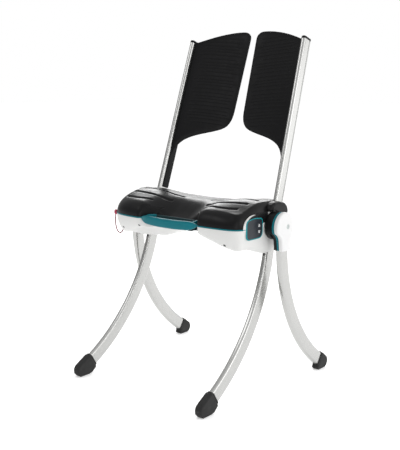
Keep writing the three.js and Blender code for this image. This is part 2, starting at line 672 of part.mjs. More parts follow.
// How far out a point of the plan lies, from 0 in the middle to 1 on the seat's edge.
function planReach(x, y) {
  const power = x < 0 ? SEAT.powerLeft : SEAT.powerRight;
  const across = Math.abs(x) / SEAT.halfWidth;
  const along = Math.abs(y - seatMiddle) / seatHalfDepth;
  return (across ** power + along ** power) ** (1 / power);
}

function screwRod([x, y], radius, below, above) {
  const head = housingBottom(x, y, planReach(x, y)) + below;
  return new THREE.CylinderGeometry(radius, radius, above - below, 14).rotateX(Math.PI / 2)
    .translate(x, y, head + (above - below) / 2);
}

const screwHole = (place) => screwRod(place, SCREW.radius + GAP, -20, SCREW.length + 4);
const housingScrew = (place) => screwRod(place, SCREW.radius, SCREW.recess, SCREW.length);

// ---- assembly -------------------------------------------------------------------------------------
const chair = new THREE.Group();

function place(parent, name, geometry, material) {
  const mesh = new THREE.Mesh(geometry, material);
  mesh.name = name;
  parent.add(mesh);
  return mesh;
}

// A group at frame on the right side, or at its mirror image on the left.
function sideGroup(frame, side) {
  const group = new THREE.Group();
  frame.decompose(group.position, group.quaternion, group.scale);
  if (side < 0) {
    group.position.x *= -1;
    group.quaternion.y *= -1;
    group.quaternion.z *= -1;
  }
  chair.add(group);
  return group;
}

place(chair, 'seat_shell', plainer(seatShell(), 0.15), MATERIAL.black);
place(chair, 'lower_housing', lowerHousing(), MATERIAL.white);
place(chair, 'front_handle', frontHandle(), MATERIAL.teal);
place(chair, 'handle_tray', handleTray(), MATERIAL.darkTeal);
place(chair, 'keypad_bezel', keypadBezel(), MATERIAL.teal);
place(chair, 'keypad_panel', keypadPanel(), MATERIAL.black);
place(chair, 'side_cover', sideCover(), MATERIAL.black);
place(chair, 'up_button', pushButton(BUTTONS.up), MATERIAL.print);
place(chair, 'down_button', pushButton(BUTTONS.down), MATERIAL.print);
place(chair, 'side_plug', sidePlug(), MATERIAL.red);
place(chair, 'plug_leash', plugLeash(), MATERIAL.red);
place(chair, 'frame_beam', frameBeam(), MATERIAL.aluminium);
place(chair, 'battery_pack', batteryPack(), MATERIAL.battery);
place(chair, 'control_board', controlBoard(), MATERIAL.board);
SCREW.places.forEach((at, index) =>
  place(chair, `housing_screw_${index + 1}`, housingScrew(at), MATERIAL.steel));

for (const [side, tag] of [[1, 'right'], [-1, 'left']]) {
  const handed = (geometry) => (side > 0 ? geometry : mirrored(geometry));
  place(chair, `trim_band_${tag}`, trimBand(side), MATERIAL.teal);
  place(chair, `back_socket_${tag}`, handed(backSocket()), MATERIAL.black);
  place(chair, `front_socket_${tag}`, handed(frontSocket()), MATERIAL.grey);
  place(chair, `hub_bearing_${tag}`, handed(bearing()), MATERIAL.steel);
  place(chair, `gearbox_${tag}`, handed(gearbox()), MATERIAL.grey);
  place(chair, `gear_motor_${tag}`, handed(gearMotor()), MATERIAL.steel);
  place(chair, `hub_shaft_${tag}`, handed(hubShaft()), MATERIAL.steel);
  place(chair, `hub_inner_${tag}`, handed(hubInner()), MATERIAL.black);
  place(chair, `hub_seal_${tag}`, handed(hubSeal()), MATERIAL.teal);
  place(chair, `hub_cap_${tag}`, handed(hubCap()), MATERIAL.white);
  place(chair, `hub_plug_${tag}`, handed(hubPlug()), MATERIAL.grey);

  const frontLeg = sideGroup(frontLegFrame(), side);
  place(frontLeg, `front_leg_${tag}`,
    handed(cut(legBar(frontLine), latchHole(frontLatchFrame))), MATERIAL.aluminium);
  place(frontLeg, `front_boot_${tag}`, handed(frontBoot()), MATERIAL.rubber);
  place(frontLeg, `front_latch_${tag}`, handed(latchButton(frontLatchFrame)), MATERIAL.black);

  const rearLeg = sideGroup(rearLegFrame(), side);
  place(rearLeg, `rear_leg_${tag}`,
    handed(cut(legBar(rearLine), latchHole(rearLatchFrame))), MATERIAL.aluminium);
  place(rearLeg, `rear_boot_${tag}`, handed(rearBoot()), MATERIAL.rubber);
  place(rearLeg, `rear_latch_${tag}`, handed(latchButton(rearLatchFrame)), MATERIAL.black);

  const back = sideGroup(tubeFrame(), side);
  place(back, `back_tube_${tag}`, handed(backTube()), MATERIAL.aluminium);
  place(back, `tube_cap_${tag}`, handed(tubeCap()), MATERIAL.black);
  place(back, `back_panel_${tag}`, handed(backPanel()), MATERIAL.black);
}

export default chair;
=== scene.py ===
"""Looks of a mobile lifting chair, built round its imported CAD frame.

Lengths in this script are millimetres in the CAD frame; make_piece turns them into metres.
"""
import math

import bmesh
import bpy
import numpy as np
from mathutils import Matrix, Vector


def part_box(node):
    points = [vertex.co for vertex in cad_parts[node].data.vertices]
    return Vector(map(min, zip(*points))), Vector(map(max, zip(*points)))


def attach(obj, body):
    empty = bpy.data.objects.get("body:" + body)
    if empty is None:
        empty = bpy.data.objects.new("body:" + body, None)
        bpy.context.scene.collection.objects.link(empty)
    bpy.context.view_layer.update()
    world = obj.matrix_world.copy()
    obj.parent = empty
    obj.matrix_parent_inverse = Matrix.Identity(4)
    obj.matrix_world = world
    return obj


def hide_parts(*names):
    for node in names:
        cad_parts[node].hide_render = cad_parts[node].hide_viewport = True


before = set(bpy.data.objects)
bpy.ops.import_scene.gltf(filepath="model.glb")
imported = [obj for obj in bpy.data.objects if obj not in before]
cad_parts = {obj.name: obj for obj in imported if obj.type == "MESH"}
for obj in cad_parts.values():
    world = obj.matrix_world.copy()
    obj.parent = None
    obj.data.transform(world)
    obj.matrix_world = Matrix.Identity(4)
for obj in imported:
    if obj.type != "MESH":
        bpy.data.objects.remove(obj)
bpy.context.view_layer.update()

MM = 0.001
SIDES = (("right", 1), ("left", -1))


def link(name, data):
    """A new object in the scene that shows the data."""
    made = bpy.data.objects.new(name, data)
    bpy.context.scene.collection.objects.link(made)
    return made


# ---- camera ----
def add_camera():
    data = bpy.data.cameras.new("camera")
    data.sensor_width = 36
    data.lens = 63.73
    camera = link("camera", data)
    camera.location = (1.69098, -2.03092, 0.984)
    looks_down, turned = 10.145, 39.594
    camera.rotation_euler = (math.radians(90 - looks_down), 0, math.radians(turned))
    bpy.context.scene.camera = camera


add_camera()


# ---- sizes, from the frame's own boxes ----
def box_mm(node):
    low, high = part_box(node)
    return np.array(low) / MM, np.array(high) / MM


def centre_and_size(node):
    low, high = box_mm(node)
    return (low + high) / 2, high - low


cap_low, cap_high = box_mm("hub_cap_right")
seal_low, seal_high = box_mm("hub_seal_right")
inner_low = box_mm("hub_inner_right")[0]
plug_high = box_mm("hub_plug_right")[1]
housing_high = box_mm("lower_housing")[1]
keypad_low, keypad_high = box_mm("keypad_bezel")

HUB_RADIUS = (cap_high[1] - cap_low[1]) / 2
HUB_Y = (cap_low[1] + cap_high[1]) / 2
HUB_Z = cap_high[2] - HUB_RADIUS
HUB_BOTTOM = cap_low[2]

SEAT_HALF = 284.0
SEAT_FRONT = -156.0
SEAT_REAR = 108.0
SEAT_MID = (SEAT_FRONT + SEAT_REAR) / 2
SEAT_TOP = 601.0
SEAT_CENTRE, HOUSING_CENTRE = np.array((0.0, 62.0)), np.array((0.0, 30.0))
BAND_Z, BAND_TOP = (corner[2] for corner in box_mm("trim_band_right"))
EAR_FACE = housing_high[0]
EAR_TOP = housing_high[2]
EAR_OUT = EAR_FACE - SEAT_HALF
EAR_FRONT, EAR_SHORT_FRONT, EAR_REAR = -121.0, -40.0, 78.0

# A leg leans from its top to height z, then bends on a radius until it slopes by its end angle. Its boot is
# an outline seen from the side, (y, z), with a rounding for each corner. The corner far_lip lies across the
# boot's mouth from the first one, tread has the middle of each groove, latch is the button's way down the leg.
LEG_THICK, LEG_DEEP, LEG_CORNER, LEG_GAP = 20.0, 46.0, 7.5, 0.35
FRONT_LEG = {"kind": "front", "way": -1, "x": 255.5, "y": 49.8, "z": 440.0, "lean": 14.5, "radius": 643.5,
             "end": 62.8, "top": 516.0, "splay": 1.7, "latch": 84, "tread": (-298.5, -283.5), "far_lip": -1,
             "boot": [(-264.6, 66.8), (-304, 44.5), (-316, 36), (-321, 26), (-320, 12), (-309, 0.2),
                      (-270, 0.2), (-256, 3.5), (-236.5, 19.2)],
             "rounding": [5, 14, 10, 10, 10, 8, 8, 12, 5]}
REAR_LEG = {"kind": "rear", "way": 1, "x": 316.3, "y": 39.2, "z": 440.0, "lean": 4.95, "radius": 544.8,
            "end": 58.6, "top": 517.0, "splay": 0, "latch": 74, "tread": (278.5, 293.5), "far_lip": 1,
            "boot": [(289.2, 58), (262.5, 19.6), (256, 7.5), (266, 0.2), (304, 0.2), (314, 5), (320.5, 16),
                     (321, 27), (317, 36)],
            "rounding": [5, 9, 5, 5, 5, 8, 8, 8, 8]}
BOOT_HALF, LIP_PROUD = 13.5, 3.3
TUBE_WIDE, TUBE_DEEP, TUBE_CORNER = 17.0, 42.0, 8.0
TUBE_FOOT = Vector((256.0, 84.2, 547.0))
TUBE_RUN = Vector((-0.0285, 0.3296, 1.0)).normalized()
TUBE_LENGTH = 606.0


# ---- materials ----
def preset(node, values):
    """Sets a node's inputs by their names."""
    for key, value in dict(values).items():
        node.inputs[key].default_value = value
    return node


class Nodes:
    """The node tree of a material or a world, with short calls to add and wire nodes."""

    def __init__(self, owner):
        owner.use_nodes = True
        self.owner, self.tree = owner, owner.node_tree
        self.shader = self.tree.nodes.get("Principled BSDF")
        self.place = self.add("ShaderNodeTexCoord").outputs

    def add(self, kind, values=(), **settings):
        node = self.tree.nodes.new(kind)
        for key, value in settings.items():
            setattr(node, key, value)
        return preset(node, values)

    def wire(self, source, socket):
        self.tree.links.new(source, socket)

    def mapped(self, values):
        """The object's own coordinates, stretched or turned."""
        node = self.add("ShaderNodeMapping", values)
        self.wire(self.place["Object"], node.inputs["Vector"])
        return node.outputs["Vector"]

    def noise(self, scale, detail=3.0, stretch=None):
        node = self.add("ShaderNodeTexNoise", {"Scale": scale, "Detail": detail})
        self.wire(self.mapped({"Scale": stretch}) if stretch else self.place["Object"], node.inputs["Vector"])
        return node.outputs["Fac"]

    def ramp(self, source, low, high, start=0.35, end=0.65):
        node = self.add("ShaderNodeMapRange",
                        {"From Min": start, "From Max": end, "To Min": low, "To Max": high})
        self.wire(source, node.inputs["Value"])
        return node.outputs["Result"]

    def colours(self, source, dark, light, start=0.3, end=0.7):
        node = self.add("ShaderNodeValToRGB")
        for stop, position, colour in zip(node.color_ramp.elements, (start, end), (dark, light)):
            stop.position, stop.color = position, (*colour, 1)
        self.wire(source, node.inputs["Fac"])
        return node.outputs["Color"]

    def bump(self, source, depth, strength=1.0):
        node = self.add("ShaderNodeBump", {"Distance": depth, "Strength": strength})
        self.wire(source, node.inputs["Height"])
        return node.outputs["Normal"]

    def finish(self, colour, roughness, normal, fixed=()):
        for source, key in ((colour, "Base Color"), (roughness, "Roughness"), (normal, "Normal")):
            self.wire(source, self.shader.inputs[key])
        preset(self.shader, fixed)
        return self.owner


def new_material(name):
    return Nodes(bpy.data.materials.new(name))


def shades(colour, spread):
    return [tuple(max(0.0, c * k) for c in colour) for k in (1 - spread, 1 + spread)]


def moulded(name, colour, roughness, grain, depth, spread, gloss_level=0.5):
    """Moulded plastic: a fine spark-eroded grain, faint flow marks and uneven gloss."""
    n = new_material(name)
    flow = n.noise(9, 4, stretch=(1, 1, 0.5))
    gloss = n.ramp(n.noise(38, 5), roughness * 0.88, min(1.0, roughness * 1.14))
    return n.finish(n.colours(flow, *shades(colour, spread)), gloss, n.bump(n.noise(grain, 2), depth),
                    {"Specular IOR Level": gloss_level})


def anodised(name, colour, roughness):
    """Drawn and anodised aluminium: fine lines along the bar under an even satin haze."""
    n = new_material(name)
    lines = n.noise(60, 3, stretch=(26, 26, 0.6))
    colour_out = n.colours(n.noise(5, 3), *shades(colour, 0.03))
    gloss = n.ramp(lines, roughness * 0.93, roughness * 1.1)
    return n.finish(colour_out, gloss, n.bump(lines, 0.000008, 0.4), {"Metallic": 1.0})


def turned_steel(name, colour, roughness):
    n = new_material(name)
    marks = n.noise(240, 2, stretch=(0.3, 1, 1))
    return n.finish(n.colours(marks, *shades(colour, 0.05)), n.ramp(marks, roughness * 0.8, roughness * 1.3),
                    n.bump(marks, 0.00002, 0.6), {"Metallic": 1.0})


def rubber(name, colour):
    """Matt moulded rubber with a fine pebble and a little dust on it."""
    n = new_material(name)
    dust = n.noise(26, 5)
    return n.finish(n.colours(dust, colour, tuple(c * 1.35 for c in colour), 0.45, 0.8),
                    n.ramp(dust, 0.62, 0.8), n.bump(n.noise(700, 3), 0.00016, 0.8),
                    {"Specular IOR Level": 0.35})


def braid(name, colour):
    """Round braided cord: two sets of diagonal strands."""
    n = new_material(name)
    waves = []
    for turn in (0.7, -0.7):
        wave = n.add("ShaderNodeTexWave", {"Scale": 260})
        n.wire(n.mapped({"Rotation": (turn, turn, 0)}), wave.inputs["Vector"])
        waves.append(wave.outputs["Fac"])
    both = n.add("ShaderNodeMath", operation="MULTIPLY")
    n.wire(waves[0], both.inputs[0])
    n.wire(waves[1], both.inputs[1])
    weave = both.outputs["Value"]
    return n.finish(n.colours(weave, *shades(colour, 0.3), 0.1, 0.9), n.ramp(weave, 0.6, 0.8, 0, 1),
                    n.bump(weave, 0.0003, 0.8))


# Plastics: colour, roughness, scale and depth of the grain, spread of the shades, specular level if not 0.5.
PLASTIC = {
    "seat_black": ((0.006, 0.006, 0.0065), 0.34, 650, 0.00006, 0.15, 0.14),
    "housing_white": ((0.60, 0.60, 0.59), 0.36, 800, 0.00004, 0.015),
    # housing_white made lighter for the hub shell: painted light on the side that faces the lamps
    "hub_white": ((0.65, 0.65, 0.65), 0.36, 800, 0.00004, 0.015),
    "teal_plastic": ((0.0005, 0.135, 0.165), 0.4, 800, 0.00004, 0.05, 0.2),
    # teal_plastic made lighter for the keypad rim: painted light
    "teal_painted_light": ((0.0005, 0.24, 0.27), 0.4, 800, 0.00004, 0.04, 0.2),
    # the grip's teal darkened into painted shade, for the hand opening behind the grip
    "dark_teal": ((0.004, 0.03, 0.035), 0.45, 700, 0.00006, 0.1),
    "keypad_black": ((0.018, 0.022, 0.028), 0.33, 1400, 0.00003, 0.08, 0.35),
    "button_print": ((0.024, 0.028, 0.034), 0.42, 1400, 0.00003, 0.08, 0.35),
    "icon_white": ((0.86, 0.87, 0.87), 0.5, 1200, 0.00002, 0.02),
    "red_plastic": ((0.36, 0.012, 0.05), 0.35, 900, 0.00004, 0.06),
    "battery_wrap": ((0.05, 0.08, 0.14), 0.4, 500, 0.0001, 0.1),
    "circuit_board": ((0.02, 0.15, 0.06), 0.4, 300, 0.0001, 0.2),
    "socket_black": ((0.007, 0.007, 0.0075), 0.38, 700, 0.00006, 0.12, 0.14),
    "socket_grey": ((0.33, 0.34, 0.33), 0.45, 700, 0.00006, 0.05),
    "gearbox_grey": ((0.30, 0.31, 0.31), 0.5, 400, 0.0002, 0.06),
    "hub_black": ((0.006, 0.006, 0.0065), 0.36, 800, 0.00005, 0.1, 0.14),
    "plug_grey": ((0.42, 0.46, 0.45), 0.5, 900, 0.00004, 0.04),
    "latch_black": ((0.05, 0.05, 0.05), 0.4, 900, 0.00004, 0.1),
    "panel_black": ((0.0065, 0.0065, 0.007), 0.42, 420, 0.0001, 0.12, 0.1),
}
MATERIAL = {name: moulded(name, *recipe) for name, recipe in PLASTIC.items()}
MATERIAL |= {
    "red_cord": braid("red_cord", (0.19, 0.004, 0.03)),
    "aluminium": anodised("aluminium", (0.47, 0.47, 0.46), 0.25),
    "steel": turned_steel("steel", (0.50, 0.51, 0.52), 0.3),
    # near-black steel for the screw heads: painted shade of their recesses
    "screw_steel": turned_steel("screw_steel", (0.05, 0.055, 0.055), 0.4),
    "boot_rubber": rubber("boot_rubber", (0.013, 0.013, 0.013)),
}


# ---- mesh helpers ----
def new_mesh(name, points, faces, matrix=None):
    """A mesh in metres from points in millimetres, with its faces turned outwards."""
    points = np.asarray(points, float)
    if matrix is not None:
        points = points @ np.array(matrix.to_3x3()).T + np.array(matrix.translation)
    mesh = bpy.data.meshes.new(name)
    mesh.from_pydata([tuple(p) for p in points * MM], [], faces)
    work = bmesh.new()
    work.from_mesh(mesh)
    bmesh.ops.remove_doubles(work, verts=work.verts, dist=1e-6)
    bmesh.ops.recalc_face_normals(work, faces=work.faces)
    work.to_mesh(mesh)
    work.free()
    return mesh


def smooth(mesh, sharp):
    mesh.polygons.foreach_set("use_smooth", [True] * len(mesh.polygons))
    mesh.set_sharp_from_angle(angle=math.radians(sharp))


def make_piece(name, points, faces, body, slot, replaces=(), material=None, matrix=None, sharp=38):
    """A mesh piece from points in millimetres, riding on a body and finished in a slot's material."""
    mesh = new_mesh(name, points, faces, matrix)
    smooth(mesh, sharp)
    mesh.materials.append(MATERIAL[material or slot])
    piece = link(name, mesh)
    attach(piece, body)
    if replaces:
        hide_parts(*replaces)
    return piece


def tool_mesh(points, faces, matrix=None):
    """A solid used to cut a piece, then thrown away."""
    return link("cutter", new_mesh("cutter", points, faces, matrix))


def carve(piece, *cutters):
    """Takes the cutters out of a piece and keeps the result as its mesh."""
    for cutter in cutters:
        modifier = piece.modifiers.new("carve", "BOOLEAN")
        modifier.operation = "DIFFERENCE"
        modifier.solver = "MANIFOLD"
        modifier.object = cutter
    bpy.context.view_layer.update()
    carved = bpy.data.meshes.new_from_object(piece.evaluated_get(bpy.context.evaluated_depsgraph_get()))
    piece.modifiers.clear()
    piece.data = carved
    smooth(carved, 38)
    for cutter in cutters:
        bpy.data.objects.remove(cutter)


def loft(rings, wrap=False):
    """Points and faces of a skin through closed rings of equal length, with ends unless it wraps round."""
    count = len(rings[0])
    faces = []
    for r in range(len(rings) if wrap else len(rings) - 1):
        base, after = r * count, (r + 1) % len(rings) * count
        for i in range(count):
            j = (i + 1) % count
            faces.append((base + i, base + j, after + j, after + i))
    if not wrap:
        faces.append(tuple(range(count))[::-1])
        faces.append(tuple(range((len(rings) - 1) * count, len(rings) * count)))
    return np.concatenate([np.asarray(ring, float) for ring in rings]), faces


def add_up(*parts):
    """Several (points, faces) pairs as one."""
    points, faces, base = [], [], 0
    for part_points, part_faces in parts:
        points.append(np.asarray(part_points, float))
        faces += [tuple(i + base for i in face) for face in part_faces]
        base += len(part_points)
    return np.concatenate(points), faces


def handed(made, side):
    """The same points and faces on the right, or mirrored on the left."""
    points, faces = made
    return np.asarray(points) * (side, 1, 1), faces


def at_x(outline, x):
    """An outline of (y, z) as a ring at x."""
    return np.column_stack([np.full(len(outline), x), outline])


def at_heights(section, heights):
    """A section of (x, y) as a ring at each height."""
    return [np.column_stack([section, np.full(len(section), z)]) for z in heights]


def rounded_rect(wide, high, corner, steps=6, centre=(0, 0)):
    """Closed outline, counter-clockwise, of a rectangle with round corners."""
    points = []
    for turn, (sx, sy) in enumerate(((1, -1), (1, 1), (-1, 1), (-1, -1))):
        for step in range(steps + 1):
            angle = math.pi / 2 * (turn - 1 + step / steps)
            points.append((centre[0] + sx * (wide / 2 - corner) + corner * math.cos(angle),
                           centre[1] + sy * (high / 2 - corner) + corner * math.sin(angle)))
    return np.array(points)


def resample(points, count, closed=True):
    points = np.asarray(points, float)
    if closed:
        points = np.vstack([points, points[:1]])
    along = np.concatenate([[0], np.cumsum(np.linalg.norm(np.diff(points, axis=0), axis=1))])
    at = np.linspace(0, along[-1], count, endpoint=not closed)
    return np.column_stack([np.interp(at, along, points[:, k]) for k in range(points.shape[1])])


def bezier(points, count=40):
    """Points along the curve that starts and ends at the outer points and is pulled by the others."""
    t = np.linspace(0, 1, count)[:, None]
    n = len(points) - 1
    return sum(math.comb(n, k) * (1 - t) ** (n - k) * t ** k * np.array(p, float) for k, p in enumerate(points))


def fillet(corners, radii, steps=8):
    """A closed polygon with its corners rounded; a radius of 0 keeps the corner."""
    corners = [np.array(c, float) for c in corners]
    points = []
    for i, (corner, radius) in enumerate(zip(corners, radii)):
        if radius == 0:
            points.append(corner)
            continue
        back, ahead = corners[i - 1] - corner, corners[(i + 1) % len(corners)] - corner
        back, ahead = back / np.linalg.norm(back), ahead / np.linalg.norm(ahead)
        half = math.acos(max(-1.0, min(1.0, float(back @ ahead)))) / 2
        reach = radius / math.tan(half)
        points += list(bezier([corner + back * reach, corner, corner + ahead * reach], steps))
    return np.array(points)


def outward(outline):
    """Unit normals of a closed counter-clockwise outline."""
    run = np.roll(outline, -1, axis=0) - np.roll(outline, 1, axis=0)
    normal = np.column_stack([run[:, 1], -run[:, 0]])
    return normal / np.linalg.norm(normal, axis=1)[:, None]


def slab(outline, x0, x1, rim=2.0, steps=4):
    """An outline drawn in (y, z) made solid from x0 to x1, its rims rounded by rim."""
    normal = outward(outline)
    ring = lambda x, inset: at_x(outline - normal * inset, x)
    turns = [math.pi / 2 * k / steps for k in range(steps + 1)]
    rings = [ring(x0 + rim * (1 - math.cos(a)), rim * (1 - math.sin(a))) for a in turns[:-1]]
    rings += [ring(x0 + rim, 0), ring(x1 - rim, 0)]
    rings += [ring(x1 - rim * (1 - math.sin(a)), rim * (1 - math.cos(a))) for a in turns[1:]]
    return loft(rings)


def lathe(profile, sides, axis, foot):
    """A profile of (radius, height) turned about axis through foot; its ends are closed."""
    turn = Vector((0, 0, 1)).rotation_difference(Vector(axis)).to_matrix()
    rings = []
    for radius, height in profile:
        angles = np.linspace(0, 2 * math.pi, sides, endpoint=False)
        ring = np.column_stack([radius * np.cos(angles), radius * np.sin(angles), np.full(sides, height)])
        rings.append(ring @ np.array(turn).T + np.array(foot))
    return loft(rings)


def set_ring(section, centre, deep):
    """A ring round centre from a section of (across, deep) points."""
    return centre + np.outer(section[:, 0], (1, 0, 0)) + np.outer(section[:, 1], deep)


def along_edge(plan, keep, order_by, section_at):
    """A section of (out, height), given for each point, along the part of a plan's edge to keep."""
    order = np.argsort(order_by[keep])
    return loft([np.array([(*(point + normal * out), up) for out, up in section_at(point)])
                 for point, normal in zip(plan[keep][order], outward(plan)[keep][order])])


def step_between(a, b, v):
    t = np.clip((v - a) / (b - a), 0, 1)
    return t * t * (3 - 2 * t)


# ---- plan of the seat unit ----
NOTCH_FRONT, NOTCH_REAR, NOTCH_Y = 128.0, 88.0, -103.0
LEFT_SQUARENESS, RIGHT_SQUARENESS = 4.0, 7.5


def seat_plan(count, notched, inset=0.0):
    """The seat's outline from above: squarer on the keypad's side, with the hand notch if asked."""
    angles = np.linspace(-math.pi / 2, 1.5 * math.pi, 1600, endpoint=False)
    c, s = np.cos(angles), np.sin(angles)
    bend = 2 / np.where(c < 0, LEFT_SQUARENESS, RIGHT_SQUARENESS)
    half_deep = (SEAT_REAR - SEAT_FRONT) / 2
    points = np.column_stack([np.sign(c) * np.abs(c) ** bend * (SEAT_HALF - inset),
                              SEAT_MID + np.sign(s) * np.abs(s) ** bend * (half_deep - inset)])
    if notched:
        room = 16
        front = (np.abs(points[:, 0]) < NOTCH_FRONT + room) & (points[:, 1] < SEAT_MID)
        kept = points[~front]
        start = int(np.argmin(np.where(kept[:, 0] > 0, kept[:, 1], 1e9)))
        kept = np.roll(kept, -start, axis=0)
        front_y = SEAT_FRONT + inset + 0.8
        corners = [(-NOTCH_FRONT, front_y), (-NOTCH_REAR, NOTCH_Y + inset), (NOTCH_REAR, NOTCH_Y + inset),
                   (NOTCH_FRONT, front_y)]
        points = fillet([*kept, *corners], [0] * len(kept) + [16, 22, 22, 16])
    return resample(points, count)


def bowl(plan, centre, edge_z, height, roll, rim_steps=10, rings=60):
    """A dome or a bowl over a plan: a quarter-round rim of radius roll, then height(x, y) inside."""
    away = plan - centre
    least = 0.42 * np.linalg.norm(away, axis=1)
    reach = np.maximum((away * outward(plan)).sum(axis=1), least)
    share = np.clip(roll / reach, 0, 0.92)
    rows = []
    for step in range(rim_steps):
        angle = math.pi / 2 * step / rim_steps
        at = plan + (centre - plan) * (share * (1 - math.cos(angle)))[:, None]
        full = height(at[:, 0], at[:, 1])
        rows.append(np.column_stack([at, edge_z + (full - edge_z) * math.sin(angle)]))
    for step in range(rings):
        inner = share + (1 - share) * (step / rings)
        at = plan + (centre - plan) * inner[:, None]
        rows.append(np.column_stack([at, height(at[:, 0], at[:, 1])]))
    return rows


# ---- seat shell ----
# Start, middle and end of each groove of the right lobe, in the plan.
GROOVES = (((126, -90), (180, -99), (232, -90)), ((78, -42), (150, -54), (240, -48)),
           ((62, 4), (140, 8), (246, 0)))
GROOVE_DEPTH, GROOVE_REACH, GROOVE_FLOOR = 3.4, 8.5, 2.2


def groove_lines():
    """Middle lines of the soft grooves in both thigh lobes, as points in the plan."""
    lines = []
    for start, middle, end in np.array(GROOVES, float):
        line = bezier([start, 2 * middle - (start + end) / 2, end], 50)
        lines += [line, line * (-1, 1)]
    return np.array(lines)


LINES = groove_lines()


def seat_form(x, y):
    """The shell's top without its grooves: two thigh lobes, a dip between and a scoop at the grip."""
    out = np.abs(x)
    side = 14 * step_between(90, 250, out) * step_between(-130, 0, y)
    lobe = 10 * np.exp(-((out - 165) / 90) ** 2) * step_between(90, 0, y)
    fall = 16 * step_between(-20, SEAT_FRONT, y)
    scoop = 46 * step_between(140, 34, out) * step_between(6, -118, y)
    return SEAT_TOP - 2 + side + lobe - fall - scoop


def seat_height(x, y):
    depth = np.zeros_like(x)
    for line in LINES:
        gap = np.sqrt(((x[:, None] - line[:, 0]) ** 2 + (y[:, None] - line[:, 1]) ** 2).min(axis=1))
        depth = np.maximum(depth, GROOVE_DEPTH * step_between(GROOVE_REACH, GROOVE_FLOOR, gap))
    return seat_form(x, y) - depth


def roll_at(plan, front, side, notch):
    """Radius of the shell's rolled edge round the plan."""
    out = np.abs(plan[:, 0])
    radius = side + (front - side) * step_between(275, 200, out)
    in_notch = step_between(NOTCH_FRONT + 6, NOTCH_FRONT - 6, out) * step_between(-60, -90, plan[:, 1])
    return radius + (notch - radius) * in_notch


def make_seat_shell():
    plan = seat_plan(640, notched=True, inset=0.4)
    roll = roll_at(plan, front=38, side=40, notch=16)
    roll -= 20 * step_between(250, 280, plan[:, 0])
    rows = bowl(plan, SEAT_CENTRE, BAND_TOP + 0.6, seat_height, roll, rim_steps=12, rings=92)
    make_piece("seat_shell_top", *loft(rows), "seat", "seat_black", ["seat_shell"])


make_seat_shell()


# ---- lower housing ----
def housing_depth(x, y):
    """Two bowls that part towards the front, with a boss round each front leg."""
    out = np.abs(x)
    ahead = step_between(0, -100, y)
    lobe = step_between(20 + 55 * ahead, 140 + 110 * ahead, out)
    boss = 14 * np.exp(-((out - 250) / 40) ** 2 - ((y - 28) / 50) ** 2)
    return 512 - (52 - 14 * ahead) * lobe - boss


def ear_top(y, front):
    """Height of an ear's rim along the seat: it rises from the trim band, and drops behind the hub."""
    rise = np.clip((y - front) / 50, 0, 1)
    fall = np.clip((EAR_REAR - y) / 40, 0, 1)
    lift = np.sqrt(1 - (1 - rise) ** 2) * np.sqrt(1 - (1 - fall) ** 2)
    return BAND_Z + 2 + (EAR_TOP - BAND_Z - 2) * lift


def ear_wall(front, side):
    """The wall that rises from the housing's end and carries the hub, and on the right the keypad."""
    plan = seat_plan(1400, notched=False)
    if side < 0:
        plan = (plan * (-1, 1))[::-1]

    def section(point):
        top = float(ear_top(point[1], front))
        low, rim = BAND_Z - 8, min(4.0, top - BAND_Z)
        inner = [(-16 + 12 * t, top - rim * (1 - math.sin(math.pi / 2 * min(1, 3 * t, 3 * (1 - t)))))
                 for t in np.linspace(0, 1, 9)]
        outer = [(EAR_OUT - rim * (1 - math.sin(a)), top - rim * (1 - math.cos(a)))
                 for a in np.linspace(0, math.pi / 2, 6)]
        return [(-20, low), (-20, top - rim), *inner, *outer, (EAR_OUT, BAND_Z - 1), (0.2, low + 2)]

    keep = (plan[:, 0] > 200) & (plan[:, 1] > front) & (plan[:, 1] < EAR_REAR)
    return handed(along_edge(plan, keep, plan[:, 1], section), side)


def make_housing():
    plan = seat_plan(560, notched=True)
    out, y = np.abs(plan[:, 0]), plan[:, 1]
    roll = 44 - 22 * step_between(262, 280, out)
    in_notch = step_between(-150, -140, y) * step_between(130, 124, out) * step_between(-60, -100, y)
    roll -= (roll - 12) * in_notch
    rows = bowl(plan, HOUSING_CENTRE, BAND_Z - 0.3, housing_depth, roll, rim_steps=14, rings=44)
    parts = [loft(rows), ear_wall(EAR_FRONT, 1), ear_wall(EAR_SHORT_FRONT, -1)]
    make_piece("housing_shell", *add_up(*parts), "seat", "housing_white", ["lower_housing"], sharp=60)


make_housing()


# ---- legs ----
def leg_place(leg, run):
    """Centre, front-to-back vector and tangent at a run along a leg from the end of its socket."""
    lean, way = math.radians(leg["lean"]), leg["way"]
    if run <= 0:
        centre = (0, leg["y"] + way * run * math.sin(lean), leg["z"] - run * math.cos(lean))
        angle = lean
    else:
        angle = lean + run / leg["radius"]
        centre = (0, leg["y"] + way * leg["radius"] * (math.cos(lean) - math.cos(angle)),
                  leg["z"] - leg["radius"] * (math.sin(angle) - math.sin(lean)))
    tangent = np.array((0, way * math.sin(angle), -math.cos(angle)))
    return np.array(centre), np.array((0, math.cos(angle), way * math.sin(angle))), tangent


def run_at(leg, height):
    """The run of a height on the straight part of a leg."""
    return -(height - leg["z"]) / math.cos(math.radians(leg["lean"]))


def leg_section(grow, steps):
    return rounded_rect(LEG_THICK + 2 * grow, LEG_DEEP + 2 * grow, LEG_CORNER + grow, steps)


def leg_rings(section, leg, start, end, count):
    return [set_ring(section, *leg_place(leg, run)[:2]) for run in np.linspace(start, end, count)]


def leg_matrix(leg, side):
    turn = Matrix.Rotation(math.radians(-leg["splay"]) * side, 4, "Y")
    return Matrix.Translation((side * leg["x"], 0, leg["z"])) @ turn @ Matrix.Translation((0, 0, -leg["z"]))


def leg_cutter(leg, side):
    """The room that a leg fills in its socket."""
    rings = leg_rings(leg_section(LEG_GAP, 6), leg, run_at(leg, 524.0), 40.0, 6)
    return tool_mesh(*loft(rings), leg_matrix(leg, side))


